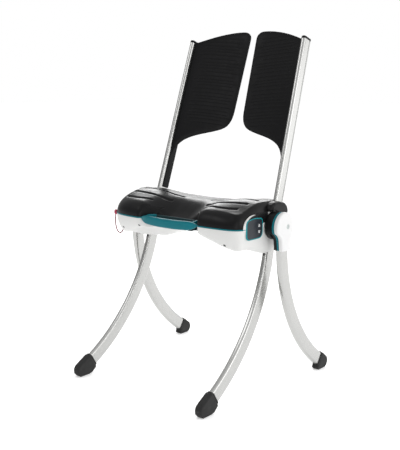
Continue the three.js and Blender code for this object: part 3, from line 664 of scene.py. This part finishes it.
def make_leg(leg, side, tag):
    kind, matrix = leg["kind"], leg_matrix(leg, side)
    start = run_at(leg, leg["top"])
    end = math.radians(leg["end"] - leg["lean"]) * leg["radius"]
    bar = make_piece(f"{kind}_leg_bar_{tag}", *loft(leg_rings(leg_section(0, 8), leg, start, end, 60)),
                     f"{kind}_leg_{tag}", "aluminium", [f"{kind}_leg_{tag}"], matrix=matrix)
    make_boot(leg, tag, end, matrix)
    centre, deep, _ = leg_place(leg, start + leg["latch"])
    front = kind == "front"
    out = -deep if front else np.array((-side, 0, 0))
    foot = centre + out * (LEG_DEEP if front else LEG_THICK) / 2
    profile = [(6, -3.6), (6, -2.4), (4.6, -2.4), (4.6, 0.7), (4.3, 1.2), (3.8, 1.5), (2.6, 1.7), (1.2, 1.8)]
    make_piece(f"{kind}_latch_cap_{tag}", *lathe(profile, 24, out, foot), f"{kind}_latch_{tag}", "latch_black",
               [f"{kind}_latch_{tag}"], matrix=matrix)
    carve(bar, tool_mesh(*lathe([(4.9, -8), (4.9, 8)], 24, out, foot), matrix))


def make_boot(leg, tag, end, matrix):
    """A rubber boot with a lip round the leg at its mouth and two grooves in its sole."""
    kind, corners = leg["kind"], np.array(leg["boot"], float)
    outline = resample(fillet(leg["boot"], leg["rounding"], 7), 160)
    mouth = (corners[0] + corners[leg["far_lip"]]) / 2
    runs = np.linspace(end - 80, end, 161)
    gaps = [np.hypot(*(leg_place(leg, run)[0][1:] - mouth)) for run in runs]
    lip_run, lip = runs[int(np.argmin(gaps))] - 4.5, leg_section(LIP_PROUD, 8)
    rings = [set_ring(lip * (1 + grow / 14), *leg_place(leg, lip_run + run)[:2])
             for run, grow in ((0, -1.3), (0.6, -0.3), (1.6, 0), (5, 0), (6, -0.5), (6.6, -1.6))]
    boot = make_piece(f"{kind}_boot_tread_{tag}",
                      *add_up(slab(outline, -BOOT_HALF, BOOT_HALF, rim=4.5, steps=6), loft(rings)),
                      f"{kind}_leg_{tag}", "boot_rubber", [f"{kind}_boot_{tag}"], matrix=matrix)
    for y in leg["tread"]:
        cut = rounded_rect(3, 10, 0.8, 3, centre=(y, -2))
        carve(boot, tool_mesh(*loft([at_x(cut, x) for x in (-20, 20)]), matrix))
    for vertex in boot.data.vertices:
        vertex.co.z = max(vertex.co.z, 0.0)


for tag, side in SIDES:
    make_leg(FRONT_LEG, side, tag)
    make_leg(REAR_LEG, side, tag)


# ---- hubs ----
def hub_outline(inset):
    """The turning disc and its tail, which holds the rear leg, in (y, z)."""
    radius = HUB_RADIUS - inset
    half = LEG_DEEP / 2 + 4 - inset
    slope = math.tan(math.radians(REAR_LEG["lean"]))
    along = lambda z: REAR_LEG["y"] + (REAR_LEG["z"] - z) * slope
    bottom, neck = HUB_BOTTOM + inset, 497.0
    left, right = along(bottom) - half, along(bottom) + half
    start, stop = math.radians(-28), math.radians(205)
    on_disc = lambda a: (HUB_Y + radius * math.cos(a), HUB_Z + radius * math.sin(a))
    return resample(np.vstack([
        [(left + 7, bottom), (right - 7, bottom)],
        bezier([(right - 7, bottom), (right, bottom), (right, bottom + 7)], 10),
        bezier([(along(neck) + half, neck), (along(neck) + half, neck + 14), on_disc(start)], 10),
        [on_disc(a) for a in np.linspace(start, stop, 60)],
        bezier([on_disc(stop), (along(neck) - half - 2, neck + 14), (along(neck) - half, neck - 4)], 10),
        bezier([(left, bottom + 7), (left, bottom), (left + 7, bottom)], 10)]), 220)


def disc(radius):
    angles = np.linspace(0, 2 * math.pi, 96, endpoint=False)
    return np.column_stack([HUB_Y + radius * np.cos(angles), HUB_Z + radius * np.sin(angles)])


def make_hub(tag, side):
    body = f"hub_{tag}"
    step = inner_low[0] + 16
    seal_in = seal_low[0] - 4
    for name, outline, low, high, rim, steps, slot, node in (
            ("disc", hub_outline(0.6), step, seal_in - 0.3, 1.5, 4, "hub_black", "inner"),
            ("neck", disc(HUB_RADIUS - 1), inner_low[0], step + 1, 1, 4, "hub_black", None),
            ("ring", hub_outline(0.8), seal_in, seal_high[0], 1.2, 4, "teal_plastic", "seal"),
            ("shell", hub_outline(0), cap_low[0], cap_high[0], 5, 8, "housing_white", "cap")):
        # the hub shell takes the lighter white, painted light
        piece = make_piece(f"hub_{name}_{tag}", *handed(slab(outline, low, high, rim, steps), side), body, slot,
                           [f"hub_{node}_{tag}"] if node else (),
                           material="hub_white" if name == "shell" else None)
        if node:
            carve(piece, leg_cutter(REAR_LEG, side))
    centre, size = centre_and_size("hub_plug_right")
    plug_radius = size[1] / 2
    foot = (side * (plug_high[0] - 0.4), centre[1], centre[2])
    well = lathe([(plug_radius + 0.4, -2.4), (plug_radius + 0.9, 5)], 40, (side, 0, 0), foot)
    carve(bpy.data.objects[f"hub_shell_{tag}"], tool_mesh(*well))
    profile = [(plug_radius, -2.4), (plug_radius, -0.6), (plug_radius - 0.6, 0), (4.2, 0.1), (3.9, -0.5),
               (1, -0.7)]
    make_piece(f"hub_screw_cover_{tag}", *lathe(profile, 40, (side, 0, 0), foot), body, "plug_grey",
               [f"hub_plug_{tag}"])


for tag, side in SIDES:
    make_hub(tag, side)


# ---- backrest ----
def tube_matrix(side):
    across = (Vector((1, 0, 0)) - TUBE_RUN * TUBE_RUN.x).normalized()
    back = TUBE_RUN.cross(across)
    columns = [across, back, TUBE_RUN, TUBE_FOOT]
    if side < 0:
        columns = [Vector((-v.x, v.y, v.z)) for v in columns]
    matrix = Matrix.Identity(4)
    for k, column in enumerate(columns):
        for row in range(3):
            matrix[row][k] = column[row]
    return matrix


PANEL_THICK, TUBE_OFFSET, MIDDLE_OFFSET = 5.0, 12.0, 51.0
PANEL_LOW, PANEL_SHOULDER, PANEL_TOP = 165.0, 607.0, 660.0
RIB_PITCH, RIB_RISE, RIB_HALF = 12.5, 0.9, 1.7
STRIP_WIDE, STRIP_BOTTOM = 3.0, 66.0
EDGE = -TUBE_WIDE / 2 - 0.5


def panel_depth(x):
    """How far behind the tube's middle the panel's face lies; x is the distance from the tube."""
    out = np.minimum(1, np.abs(TUBE_FOOT.x - 10 + x) / 245)
    return MIDDLE_OFFSET - (MIDDLE_OFFSET - TUBE_OFFSET) * out ** 2.2 - TUBE_DEEP / 2


def panel_edges():
    """The panel's two edges from bottom to top, as (x, height): towards the middle, and towards the tube."""
    inner = np.vstack([bezier([(EDGE, PANEL_LOW), (-13, 214), (-28, 240), (-60, 258)]),
                       bezier([(-60, 258), (-92, 276), (-125, 283), (-160, 294)]),
                       bezier([(-160, 294), (-200, 306), (-225, 318), (-225, 374)]),
                       [(-226, 632)], bezier([(-226, 632), (-226, PANEL_TOP), (-194, PANEL_TOP)], 24)])
    outer = np.vstack([[(EDGE, PANEL_LOW), (EDGE, PANEL_SHOULDER)],
                       bezier([(EDGE, PANEL_SHOULDER), (-60, 631), (-120, 657), (-194, PANEL_TOP)])])
    return inner, outer


def make_panel(tag, side):
    inner, outer = panel_edges()
    border = resample(np.vstack([inner, outer[::-1]]), 500)
    heights = np.concatenate([np.linspace(PANEL_LOW + 1, PANEL_LOW + 5, 4),
                              np.arange(PANEL_LOW + 7, PANEL_TOP - 2, 1.6),
                              PANEL_TOP - np.array((1.4, 0.7, 0.2))])
    columns = 70
    share = np.linspace(0, 1, columns)
    share = 0.5 - 0.5 * np.cos(math.pi * share) * (0.35 + 0.65 * np.abs(np.cos(math.pi * share)) ** 0.2)
    share = (share - share[0]) / (share[-1] - share[0])
    left = np.interp(heights, inner[:, 1], inner[:, 0])
    right = np.interp(heights, outer[:, 1], outer[:, 0])
    x = left[:, None] + (right - left)[:, None] * share
    z = np.repeat(heights[:, None], columns, axis=1)
    gap = np.sqrt(((x[..., None] - border[:, 0]) ** 2 + (z[..., None] - border[:, 1]) ** 2).min(axis=-1))
    roll = 2.2
    rim = roll * (1 - np.sqrt(np.clip(1 - (1 - np.minimum(gap, roll) / roll) ** 2, 0, 1)))
    crown = 1.6 * np.exp(-(gap / 9) ** 2)
    ribs = np.zeros_like(x)
    for number, height in enumerate(np.arange(322, 640, RIB_PITCH)):
        cut_short = 22 + 20 * math.sin(number * 2.4) + (20 if number % 3 == 1 else 0)
        ends = step_between(0, 14, x - left[:, None] - cut_short * 0.6) \
            * step_between(0, 14, right[:, None] - x - 26 - 10 * math.cos(number * 1.7))
        bowed = height - 5 * ((x + 110) / 100) ** 2 + 2 * math.sin(number * 1.3)
        ribs = np.maximum(ribs, RIB_RISE * np.exp(-((z - bowed) / RIB_HALF) ** 2) * ends)
    depth = panel_depth(x)
    front = np.stack([x, depth + rim - ribs - crown + 1.0, z], axis=-1)
    back = np.stack([x, depth + PANEL_THICK - rim, z], axis=-1)
    panel = loft(np.concatenate([front, back[:, ::-1]], axis=1))
    strip = rounded_rect(STRIP_WIDE, TUBE_DEEP - TUBE_OFFSET - 1, 1.2,
                         centre=(EDGE - STRIP_WIDE / 2, (TUBE_OFFSET - 1) / 2))
    rings = at_heights(strip, (STRIP_BOTTOM, 180, 400, PANEL_SHOULDER))
    make_piece(f"ribbed_panel_{tag}", *add_up(panel, loft(rings)), f"back_half_{tag}", "panel_black",
               [f"back_panel_{tag}"], matrix=tube_matrix(side), sharp=50)


def make_tube(tag, side):
    body, matrix = f"back_half_{tag}", tube_matrix(side)
    section = rounded_rect(TUBE_WIDE, TUBE_DEEP, TUBE_CORNER, 9)
    rings = at_heights(section, np.linspace(0, TUBE_LENGTH, 12))
    tube = make_piece(f"back_tube_bar_{tag}", *loft(rings), body, "aluminium", [f"back_tube_{tag}"],
                      matrix=matrix)
    groove = rounded_rect(3.6, 3.2, 0.5, 3, centre=(TUBE_WIDE / 2 + 0.5, 9.8))
    carve(tube, tool_mesh(*loft(at_heights(groove, (-5, TUBE_LENGTH + 5))), matrix=matrix))
    rings = []
    for up, shrink in ((0.2, 0.4), (0.8, 0), (6, 0), (7.6, 0.7), (8.6, 2), (9.2, 4)):
        lid = rounded_rect(TUBE_WIDE + 0.8 - 2 * shrink, TUBE_DEEP + 0.8 - 2 * shrink,
                           max(1.5, TUBE_CORNER - shrink), 9)
        rings += at_heights(lid, [TUBE_LENGTH + up])
    make_piece(f"tube_lid_{tag}", *loft(rings), body, "socket_black", [f"tube_cap_{tag}"], matrix=matrix)


for tag, side in SIDES:
    make_tube(tag, side)
    make_panel(tag, side)


# ---- hoods and leg collars ----
HOOD = [(4, 590), (13, 606), (30, 611.5), (60, 612), (86, 606), (100, 594), (104.5, 580), (104, 560),
        (100, 538), (70, 528), (62, 545)]
HOOD_ROUND = [3, 6, 10, 14, 12, 8, 8, 8, 5, 4, 6]
HOOD_IN, HOOD_OUT = 241.0, 296.0


def tube_cutter(side):
    section = rounded_rect(TUBE_WIDE + 2 * LEG_GAP, TUBE_DEEP + 2 * LEG_GAP, TUBE_CORNER + LEG_GAP, 8)
    return tool_mesh(*loft(at_heights(section, (-12.0, 240.0))), matrix=tube_matrix(side))


def strip_cutter(side):
    room = rounded_rect(STRIP_WIDE + 5, TUBE_DEEP - TUBE_OFFSET + 1, 1.2,
                        centre=(EDGE - STRIP_WIDE / 2 + 1, (TUBE_OFFSET - 1) / 2))
    return tool_mesh(*loft(at_heights(room, (STRIP_BOTTOM - 0.7, 240.0))), matrix=tube_matrix(side))


def make_hood(tag, side):
    outline = resample(fillet(HOOD, HOOD_ROUND, 6)[::-1], 160)
    hood = make_piece(f"tube_hood_{tag}", *handed(slab(outline, HOOD_IN, HOOD_OUT, rim=9, steps=8), side),
                      "seat", "socket_black", [f"back_socket_{tag}"])
    shaft = lathe([(HUB_RADIUS + 2.4, 200), (HUB_RADIUS + 2.4, 300)], 80, (side, 0, 0), (0, HUB_Y, HUB_Z))
    carve(hood, tube_cutter(side), strip_cutter(side), tool_mesh(*shaft))


def make_collar(tag, side):
    section = leg_section(4, 8)
    top, bottom = (run_at(FRONT_LEG, height) for height in (523, 466))
    rings = leg_rings(section, FRONT_LEG, top, bottom, 5)
    centre, deep, tangent = leg_place(FRONT_LEG, bottom)
    rings += [set_ring(section * (1 - shrink / 14), centre + tangent * down, deep)
              for down, shrink in ((0.6, 0.3), (1.2, 1))]
    collar = make_piece(f"leg_collar_{tag}", *loft(rings), "seat", "socket_grey", [f"front_socket_{tag}"],
                        matrix=leg_matrix(FRONT_LEG, side))
    carve(collar, leg_cutter(FRONT_LEG, side))


for tag, side in SIDES:
    make_hood(tag, side)
    make_collar(tag, side)


# ---- trim band and grip bar ----
BAND_FRONT_END, BAND_OVERRUN = (117.0, -143.0), 9.0


def make_band(tag, side):
    plan = seat_plan(1400, notched=True)
    from_centre = plan - SEAT_CENTRE
    turn = np.arctan2(from_centre[:, 1], from_centre[:, 0] * side)
    tip = math.atan2(BAND_FRONT_END[1] - SEAT_CENTRE[1], BAND_FRONT_END[0])
    last = box_mm(f"trim_band_{tag}")[1][1] + BAND_OVERRUN
    keep = (turn > tip) & (turn < 0) & (plan[:, 1] < last) & (plan[:, 0] * side > 0)
    section = [(-7, BAND_Z), (0.2, BAND_Z), (0.9, BAND_Z + 0.5), (1.2, (BAND_Z + BAND_TOP) / 2),
               (0.9, BAND_TOP - 0.5), (0.2, BAND_TOP), (-7, BAND_TOP)]
    make_piece(f"band_{tag}", *along_edge(plan, keep, turn, lambda point: section), "seat", "teal_plastic",
               [f"trim_band_{tag}"])


# Half of the grip bar from its tip on the lobe's corner to the middle: centre in the plan, thickness,
# and lowest and highest level. An arm runs back from it along the lobe.
GRIP = [(-121, -145, 4, BAND_Z + 0.3, BAND_TOP - 0.3), (-115, -147, 6, 536, 548), (-108, -149, 9, 532, 550.5),
        (-98, -151, 12, 528, 553), (-86, -152.4, 15, 525.5, 554), (-70, -153, 18, 524.5, 553.2),
        (-50, -153.4, 20, 523, 552.4), (-25, -154.2, 20.5, 522.5, 552), (0, -154.6, 20.5, 522.5, 552)]
ARM = [(-90, -106, 7, 541, 552.5), (-97, -118, 8, 539, 553.5), (-101, -131, 9, 537, 554),
       (-97, -144, 9, 536, 553)]


def grip_rings(stations, count):
    whole = resample(np.array(stations, float), count, closed=False)
    for _ in range(20):
        whole[1:-1] = (whole[:-2] + 2 * whole[1:-1] + whole[2:]) / 4
    run = np.gradient(whole[:, :2], axis=0)
    run /= np.linalg.norm(run, axis=1)[:, None]
    rings = []
    for (x, y, thick, low, high), (dx, dy) in zip(whole, run):
        tall = high - low
        section = rounded_rect(thick, tall, min(thick, tall) * 0.36, 7, centre=(0, (low + high) / 2))
        rings.append(np.hstack([np.array((x, y)) + section[:, :1] * np.array((dy, -dx)), section[:, 1:]]))
    return rings


def make_grip():
    half = np.array(GRIP, float)
    parts = [loft(grip_rings(np.vstack([half, (half * (-1, 1, 1, 1, 1))[-2::-1]]), 180))]
    for side in (-1, 1):
        parts.append(loft(grip_rings(np.array(ARM) * (-side, 1, 1, 1, 1), 30)))
        column = rounded_rect(12, 7, 2, 4, centre=(side * 76, -141))
        parts.append(loft(at_heights(column, (521.9, 530, 536))))
    make_piece("grip_bar", *add_up(*parts), "seat", "teal_plastic", ["front_handle"])


def make_tray_wall():
    """The wall round the back of the hand opening, under the rolled edge of the seat, in teal darkened as
    painted shade.
    """
    plan = seat_plan(1400, notched=True)
    turn = np.arctan2(plan[:, 0], SEAT_CENTRE[1] - plan[:, 1])
    keep = (np.abs(plan[:, 0]) < 112) & (plan[:, 1] < -98)
    low = box_mm("handle_tray")[0][2] + 2.2
    section = [(-2.5, low), (1.6, low), (2.0, low + 20), (2.0, 549), (1.2, 550.5), (-0.4, 551), (-2.5, 550)]
    make_piece("tray_wall", *along_edge(plan, keep, turn, lambda point: section), "seat", "dark_teal")


for tag, side in SIDES:
    make_band(tag, side)
make_grip()
make_tray_wall()


# ---- keypad ----
(_, KEY_Y, KEY_Z), (_, KEY_WIDE, KEY_HIGH) = centre_and_size("keypad_bezel")
KEY_TRAVEL_ROOM, KEY_THICK, KEY_SUNK = 0.8, 0.75, 0.4


def keypad_outline(grow):
    """Bowed along the top, with a wider bend at the lower rear corner."""
    w, h = KEY_WIDE / 2 + grow, KEY_HIGH / 2 + grow
    corners = [(KEY_Y - w, KEY_Z - h), (KEY_Y + w, KEY_Z - h), (KEY_Y + w, KEY_Z + h - 3),
               (KEY_Y, KEY_Z + h + 1.5), (KEY_Y - w, KEY_Z + h - 3)]
    return resample(fillet(corners, [17 + grow, 23 + grow, 14 + grow, 60, 18 + grow], 10), 160)


def make_keypad():
    low, high = keypad_low[0], keypad_high[0]
    rings = [at_x(keypad_outline(grow), x)
             for grow, x in ((-3.0, low), (-3.0, high - 0.9), (-2.6, high - 0.2), (-1.5, high),
                             (-0.5, high - 0.4), (0, high - 1.2), (0, low))]
    # the rim is the grip's teal with painted light
    make_piece("keypad_rim", *loft(rings, wrap=True), "seat", "teal_plastic", ["keypad_bezel"],
               material="teal_painted_light")
    panel = make_piece("keypad_face", *slab(keypad_outline(-3.2), low, high - 0.3, 1.0), "seat", "keypad_black",
                       ["keypad_panel"])
    for name, way in (("up_button", 1), ("down_button", -1)):
        low, high = (corner[0] for corner in box_mm(name))
        (_, y, z), (_, wide, tall) = centre_and_size(name)
        well = rounded_rect(wide + 0.9, tall + 0.9, 5.4, 8, (y, z))
        carve(panel, tool_mesh(*slab(well, low - KEY_TRAVEL_ROOM, high + 4, 0.1, 1)))
        key, face = rounded_rect(wide, tall, 5, 8, (y, z)), high - KEY_SUNK
        make_piece(f"{name}_key", *slab(key, face - KEY_THICK, face, 0.3), name, "button_print", [name])
        make_arrow(f"{name}_arrow", name, face - 0.05, y, z, way)


def make_arrow(name, body, x, y, z, way):
    """A raised arrow over a short bar: up to raise, down to lower."""
    arrow = np.array([(-4.2, 0), (4.2, 0), (0, 4.6)])
    bar = np.array([(-4.2, -3.6), (4.2, -3.6), (4.2, -1.8), (-4.2, -1.8)])
    parts = []
    for shape in (arrow, bar):
        shape = shape * (1, way)
        if way < 0:
            shape = shape[::-1]
        parts.append(slab(resample(shape + (y, z), 48), x, x + 0.45, 0.12, 2))
    make_piece(name, *add_up(*parts), body, "button_print", material="icon_white")


def make_cover():
    """The dark cheek between the white rim, the keypad and the hub, and the saddle over the ear behind it."""
    level = 552.0
    rise = [(y + 5.5, float(ear_top(y, EAR_FRONT)) - 1.0)
            for y in np.linspace(EAR_FRONT + 6, EAR_FRONT + 56, 14)]
    ring = HUB_RADIUS + 5.5
    turn = math.degrees(math.asin((EAR_TOP + 1.5 - HUB_Z) / ring))
    arc = [(HUB_Y + ring * math.cos(math.radians(a)), HUB_Z + ring * math.sin(math.radians(a)))
           for a in np.linspace(180 - turn, 166, 16)]
    shape = [(rise[0][0], level - 5)] + rise + [(rise[-1][0] + 4, EAR_TOP + 1.5)] + arc + [(-60, level)]
    cover = slab(resample(np.array(shape), 240)[::-1], EAR_FACE + 0.2, EAR_FACE + 1.5, 0.6)
    block = rounded_rect(24, EAR_TOP + 1.6 - level, 5, 6, centre=(EAR_FACE - 10.6, (EAR_TOP + 1.6 + level) / 2))
    saddle = loft([np.column_stack([block[:, 0], np.full(len(block), y), block[:, 1]])
                   for y in np.linspace(rise[-1][0] - 2, arc[0][0] - 1, 8)])
    for name, made, replaces in (("side_cheek", cover, ["side_cover"]), ("cheek_saddle", saddle, [])):
        piece = make_piece(name, *made, "seat", "seat_black", replaces)
        carve(piece, tool_mesh(*slab(keypad_outline(0.3), EAR_FACE - 3, EAR_FACE + 8, 0.1, 1)))


make_keypad()
make_cover()


# ---- red plug, its leash, and the screws ----
PLUG_TURN = math.radians(33)
# The leash from the plug down its loop and into the housing.
LEASH = [(-276.6, -110.6, 536.5), (-278.2, -110.4, 526), (-279.4, -110, 514), (-280.4, -108.6, 500),
         (-281.4, -104.6, 486), (-282.4, -98.6, 474), (-283.2, -91, 466.4), (-283.8, -83, 463.6),
         (-284, -76, 465.4), (-284, -71, 470.4), (-283.4, -68.4, 478), (-282, -67.4, 486),
         (-279.6, -67, 492.8), (-276, -67, 497.6), (-271, -67, 499.8), (-265, -67, 500)]
LEASH_DIAMETER = 4.0


def make_leash():
    curve = bpy.data.curves.new("red_leash", "CURVE")
    curve.dimensions = "3D"
    curve.bevel_depth = LEASH_DIAMETER / 2 * MM
    curve.bevel_resolution = 6
    curve.use_fill_caps = True
    curve.resolution_u = 8
    spline = curve.splines.new("BEZIER")
    spline.bezier_points.add(len(LEASH) - 1)
    for point, place in zip(spline.bezier_points, LEASH):
        point.co = [v * MM for v in place]
        point.handle_left_type = point.handle_right_type = "AUTO"
    piece = link("red_leash", curve)
    curve.materials.append(MATERIAL["red_cord"])
    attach(piece, "seat")
    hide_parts("plug_leash")


def make_plug():
    axis = Vector((-math.cos(PLUG_TURN), -math.sin(PLUG_TURN), 0))
    foot = Vector(centre_and_size("side_plug")[0]) - axis * 4
    profile = [(6, 0), (7.6, 0.5), (8.4, 1.8), (8.4, 6.6), (7.9, 8.2), (6.4, 9.2), (4.2, 9.4), (3.8, 8.7),
               (1, 8.6)]
    make_piece("red_plug", *lathe(profile, 40, axis, foot), "side_plug", "red_plastic", ["side_plug"])


SCREW_RISE = 11.0


def make_screws():
    """Screw heads sunk in the front of the housing, each a little above the foot of its CAD screw; the heads
    fill their recesses in near-black steel, painted shade of the holes.
    """
    housing = bpy.data.objects["housing_shell"]
    for number in range(1, 5):
        centre, size = centre_and_size(f"housing_screw_{number}")
        radius = size[0] / 2
        start = Vector((centre[0], -400, centre[2] - size[2] / 2 + SCREW_RISE)) * MM
        _, place, normal, _ = housing.ray_cast(start, Vector((0, 1, 0)))
        foot, axis = np.array(place) / MM, np.array(normal)
        carve(housing, tool_mesh(*lathe([(radius + 0.8, -1.8), (radius + 1.6, 3)], 32, axis, foot)))
        profile = [(radius + 0.6, -6), (radius + 0.6, -0.9), (radius + 0.2, -0.5), (2.2, -0.3), (1.9, -1.4),
                   (0.6, -1.5)]
        make_piece(f"screw_head_{number}", *lathe(profile, 32, axis, foot), "seat", "steel",
                   [f"housing_screw_{number}"], material="screw_steel")


make_leash()
make_plug()
make_screws()

# ---- CAD pieces that keep their shape ----
# the handle tray takes the teal with painted shade
KEPT = {"handle_tray": "dark_teal", "frame_beam": "aluminium", "battery_pack": "battery_wrap",
        "control_board": "circuit_board"}
for tag, _ in SIDES:
    KEPT |= {f"hub_bearing_{tag}": "steel", f"hub_shaft_{tag}": "steel", f"gear_motor_{tag}": "steel",
             f"gearbox_{tag}": "gearbox_grey"}
for name, slot in KEPT.items():
    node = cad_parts[name]
    node.data.materials.clear()
    node.data.materials.append(MATERIAL[slot])


# ---- floor, world and light ----
def make_floor():
    mesh = bpy.data.meshes.new("floor")
    reach = 30
    mesh.from_pydata([(-reach, -reach, 0), (reach, -reach, 0), (reach, reach, 0), (-reach, reach, 0)], [],
                     [(0, 1, 2, 3)])
    floor = link("floor", mesh)
    n = new_material("floor_white")
    preset(n.shader, {"Base Color": (0.93, 0.93, 0.93, 1), "Roughness": 0.9, "Specular IOR Level": 0.1,
                      "Emission Color": (1, 1, 1, 1), "Emission Strength": 0.3})
    mesh.materials.append(n.owner)


def make_world():
    """A white room, brighter on the right, at the back and overhead, and plain white where seen directly."""
    bpy.context.scene.world = bpy.data.worlds.new("studio")
    n = Nodes(bpy.context.scene.world)
    dot = n.add("ShaderNodeVectorMath", operation="DOT_PRODUCT")
    dot.inputs[1].default_value = Vector((0.7, 0.6, 0.5)).normalized()
    n.wire(n.place["Generated"], dot.inputs[0])
    mix = n.add("ShaderNodeMix", {"B": 1.0})
    n.wire(n.add("ShaderNodeLightPath").outputs["Is Camera Ray"], mix.inputs["Factor"])
    n.wire(n.ramp(dot.outputs["Value"], 0.36, 1.0, -0.65, 0.6), mix.inputs["A"])
    background = preset(n.tree.nodes["Background"], {"Color": (1, 1, 1, 1)})
    n.wire(mix.outputs["Result"], background.inputs["Strength"])


def add_light(name, place, aim, size, power):
    data = bpy.data.lights.new(name, "AREA")
    data.shape = "RECTANGLE"
    data.size, data.size_y = size
    data.energy = power
    lamp = link(name, data)
    lamp.location = place
    lamp.rotation_euler = (Vector(aim) - Vector(place)).to_track_quat("-Z", "Y").to_euler()


make_floor()
make_world()
add_light("key", (-1.8, -2.2, 2.9), (0, 0, 0.55), (1.6, 1.2), 14)
add_light("rear", (-1.6, 2.6, 1.9), (0, 0, 0.6), (2.6, 1.0), 60)
add_light("right", (3.2, 0.2, 1.5), (0, 0, 0.8), (2.0, 1.4), 20)
add_light("rear_right", (2.2, 2.5, 0.85), (0.25, 0.15, 0.9), (2.0, 1.2), 7)
add_light("front_strip", (2.35, -2.8, 1.2), (0, 0, 0.6), (0.3, 2.2), 14)
bpy.context.scene.view_settings.view_transform = "Standard"
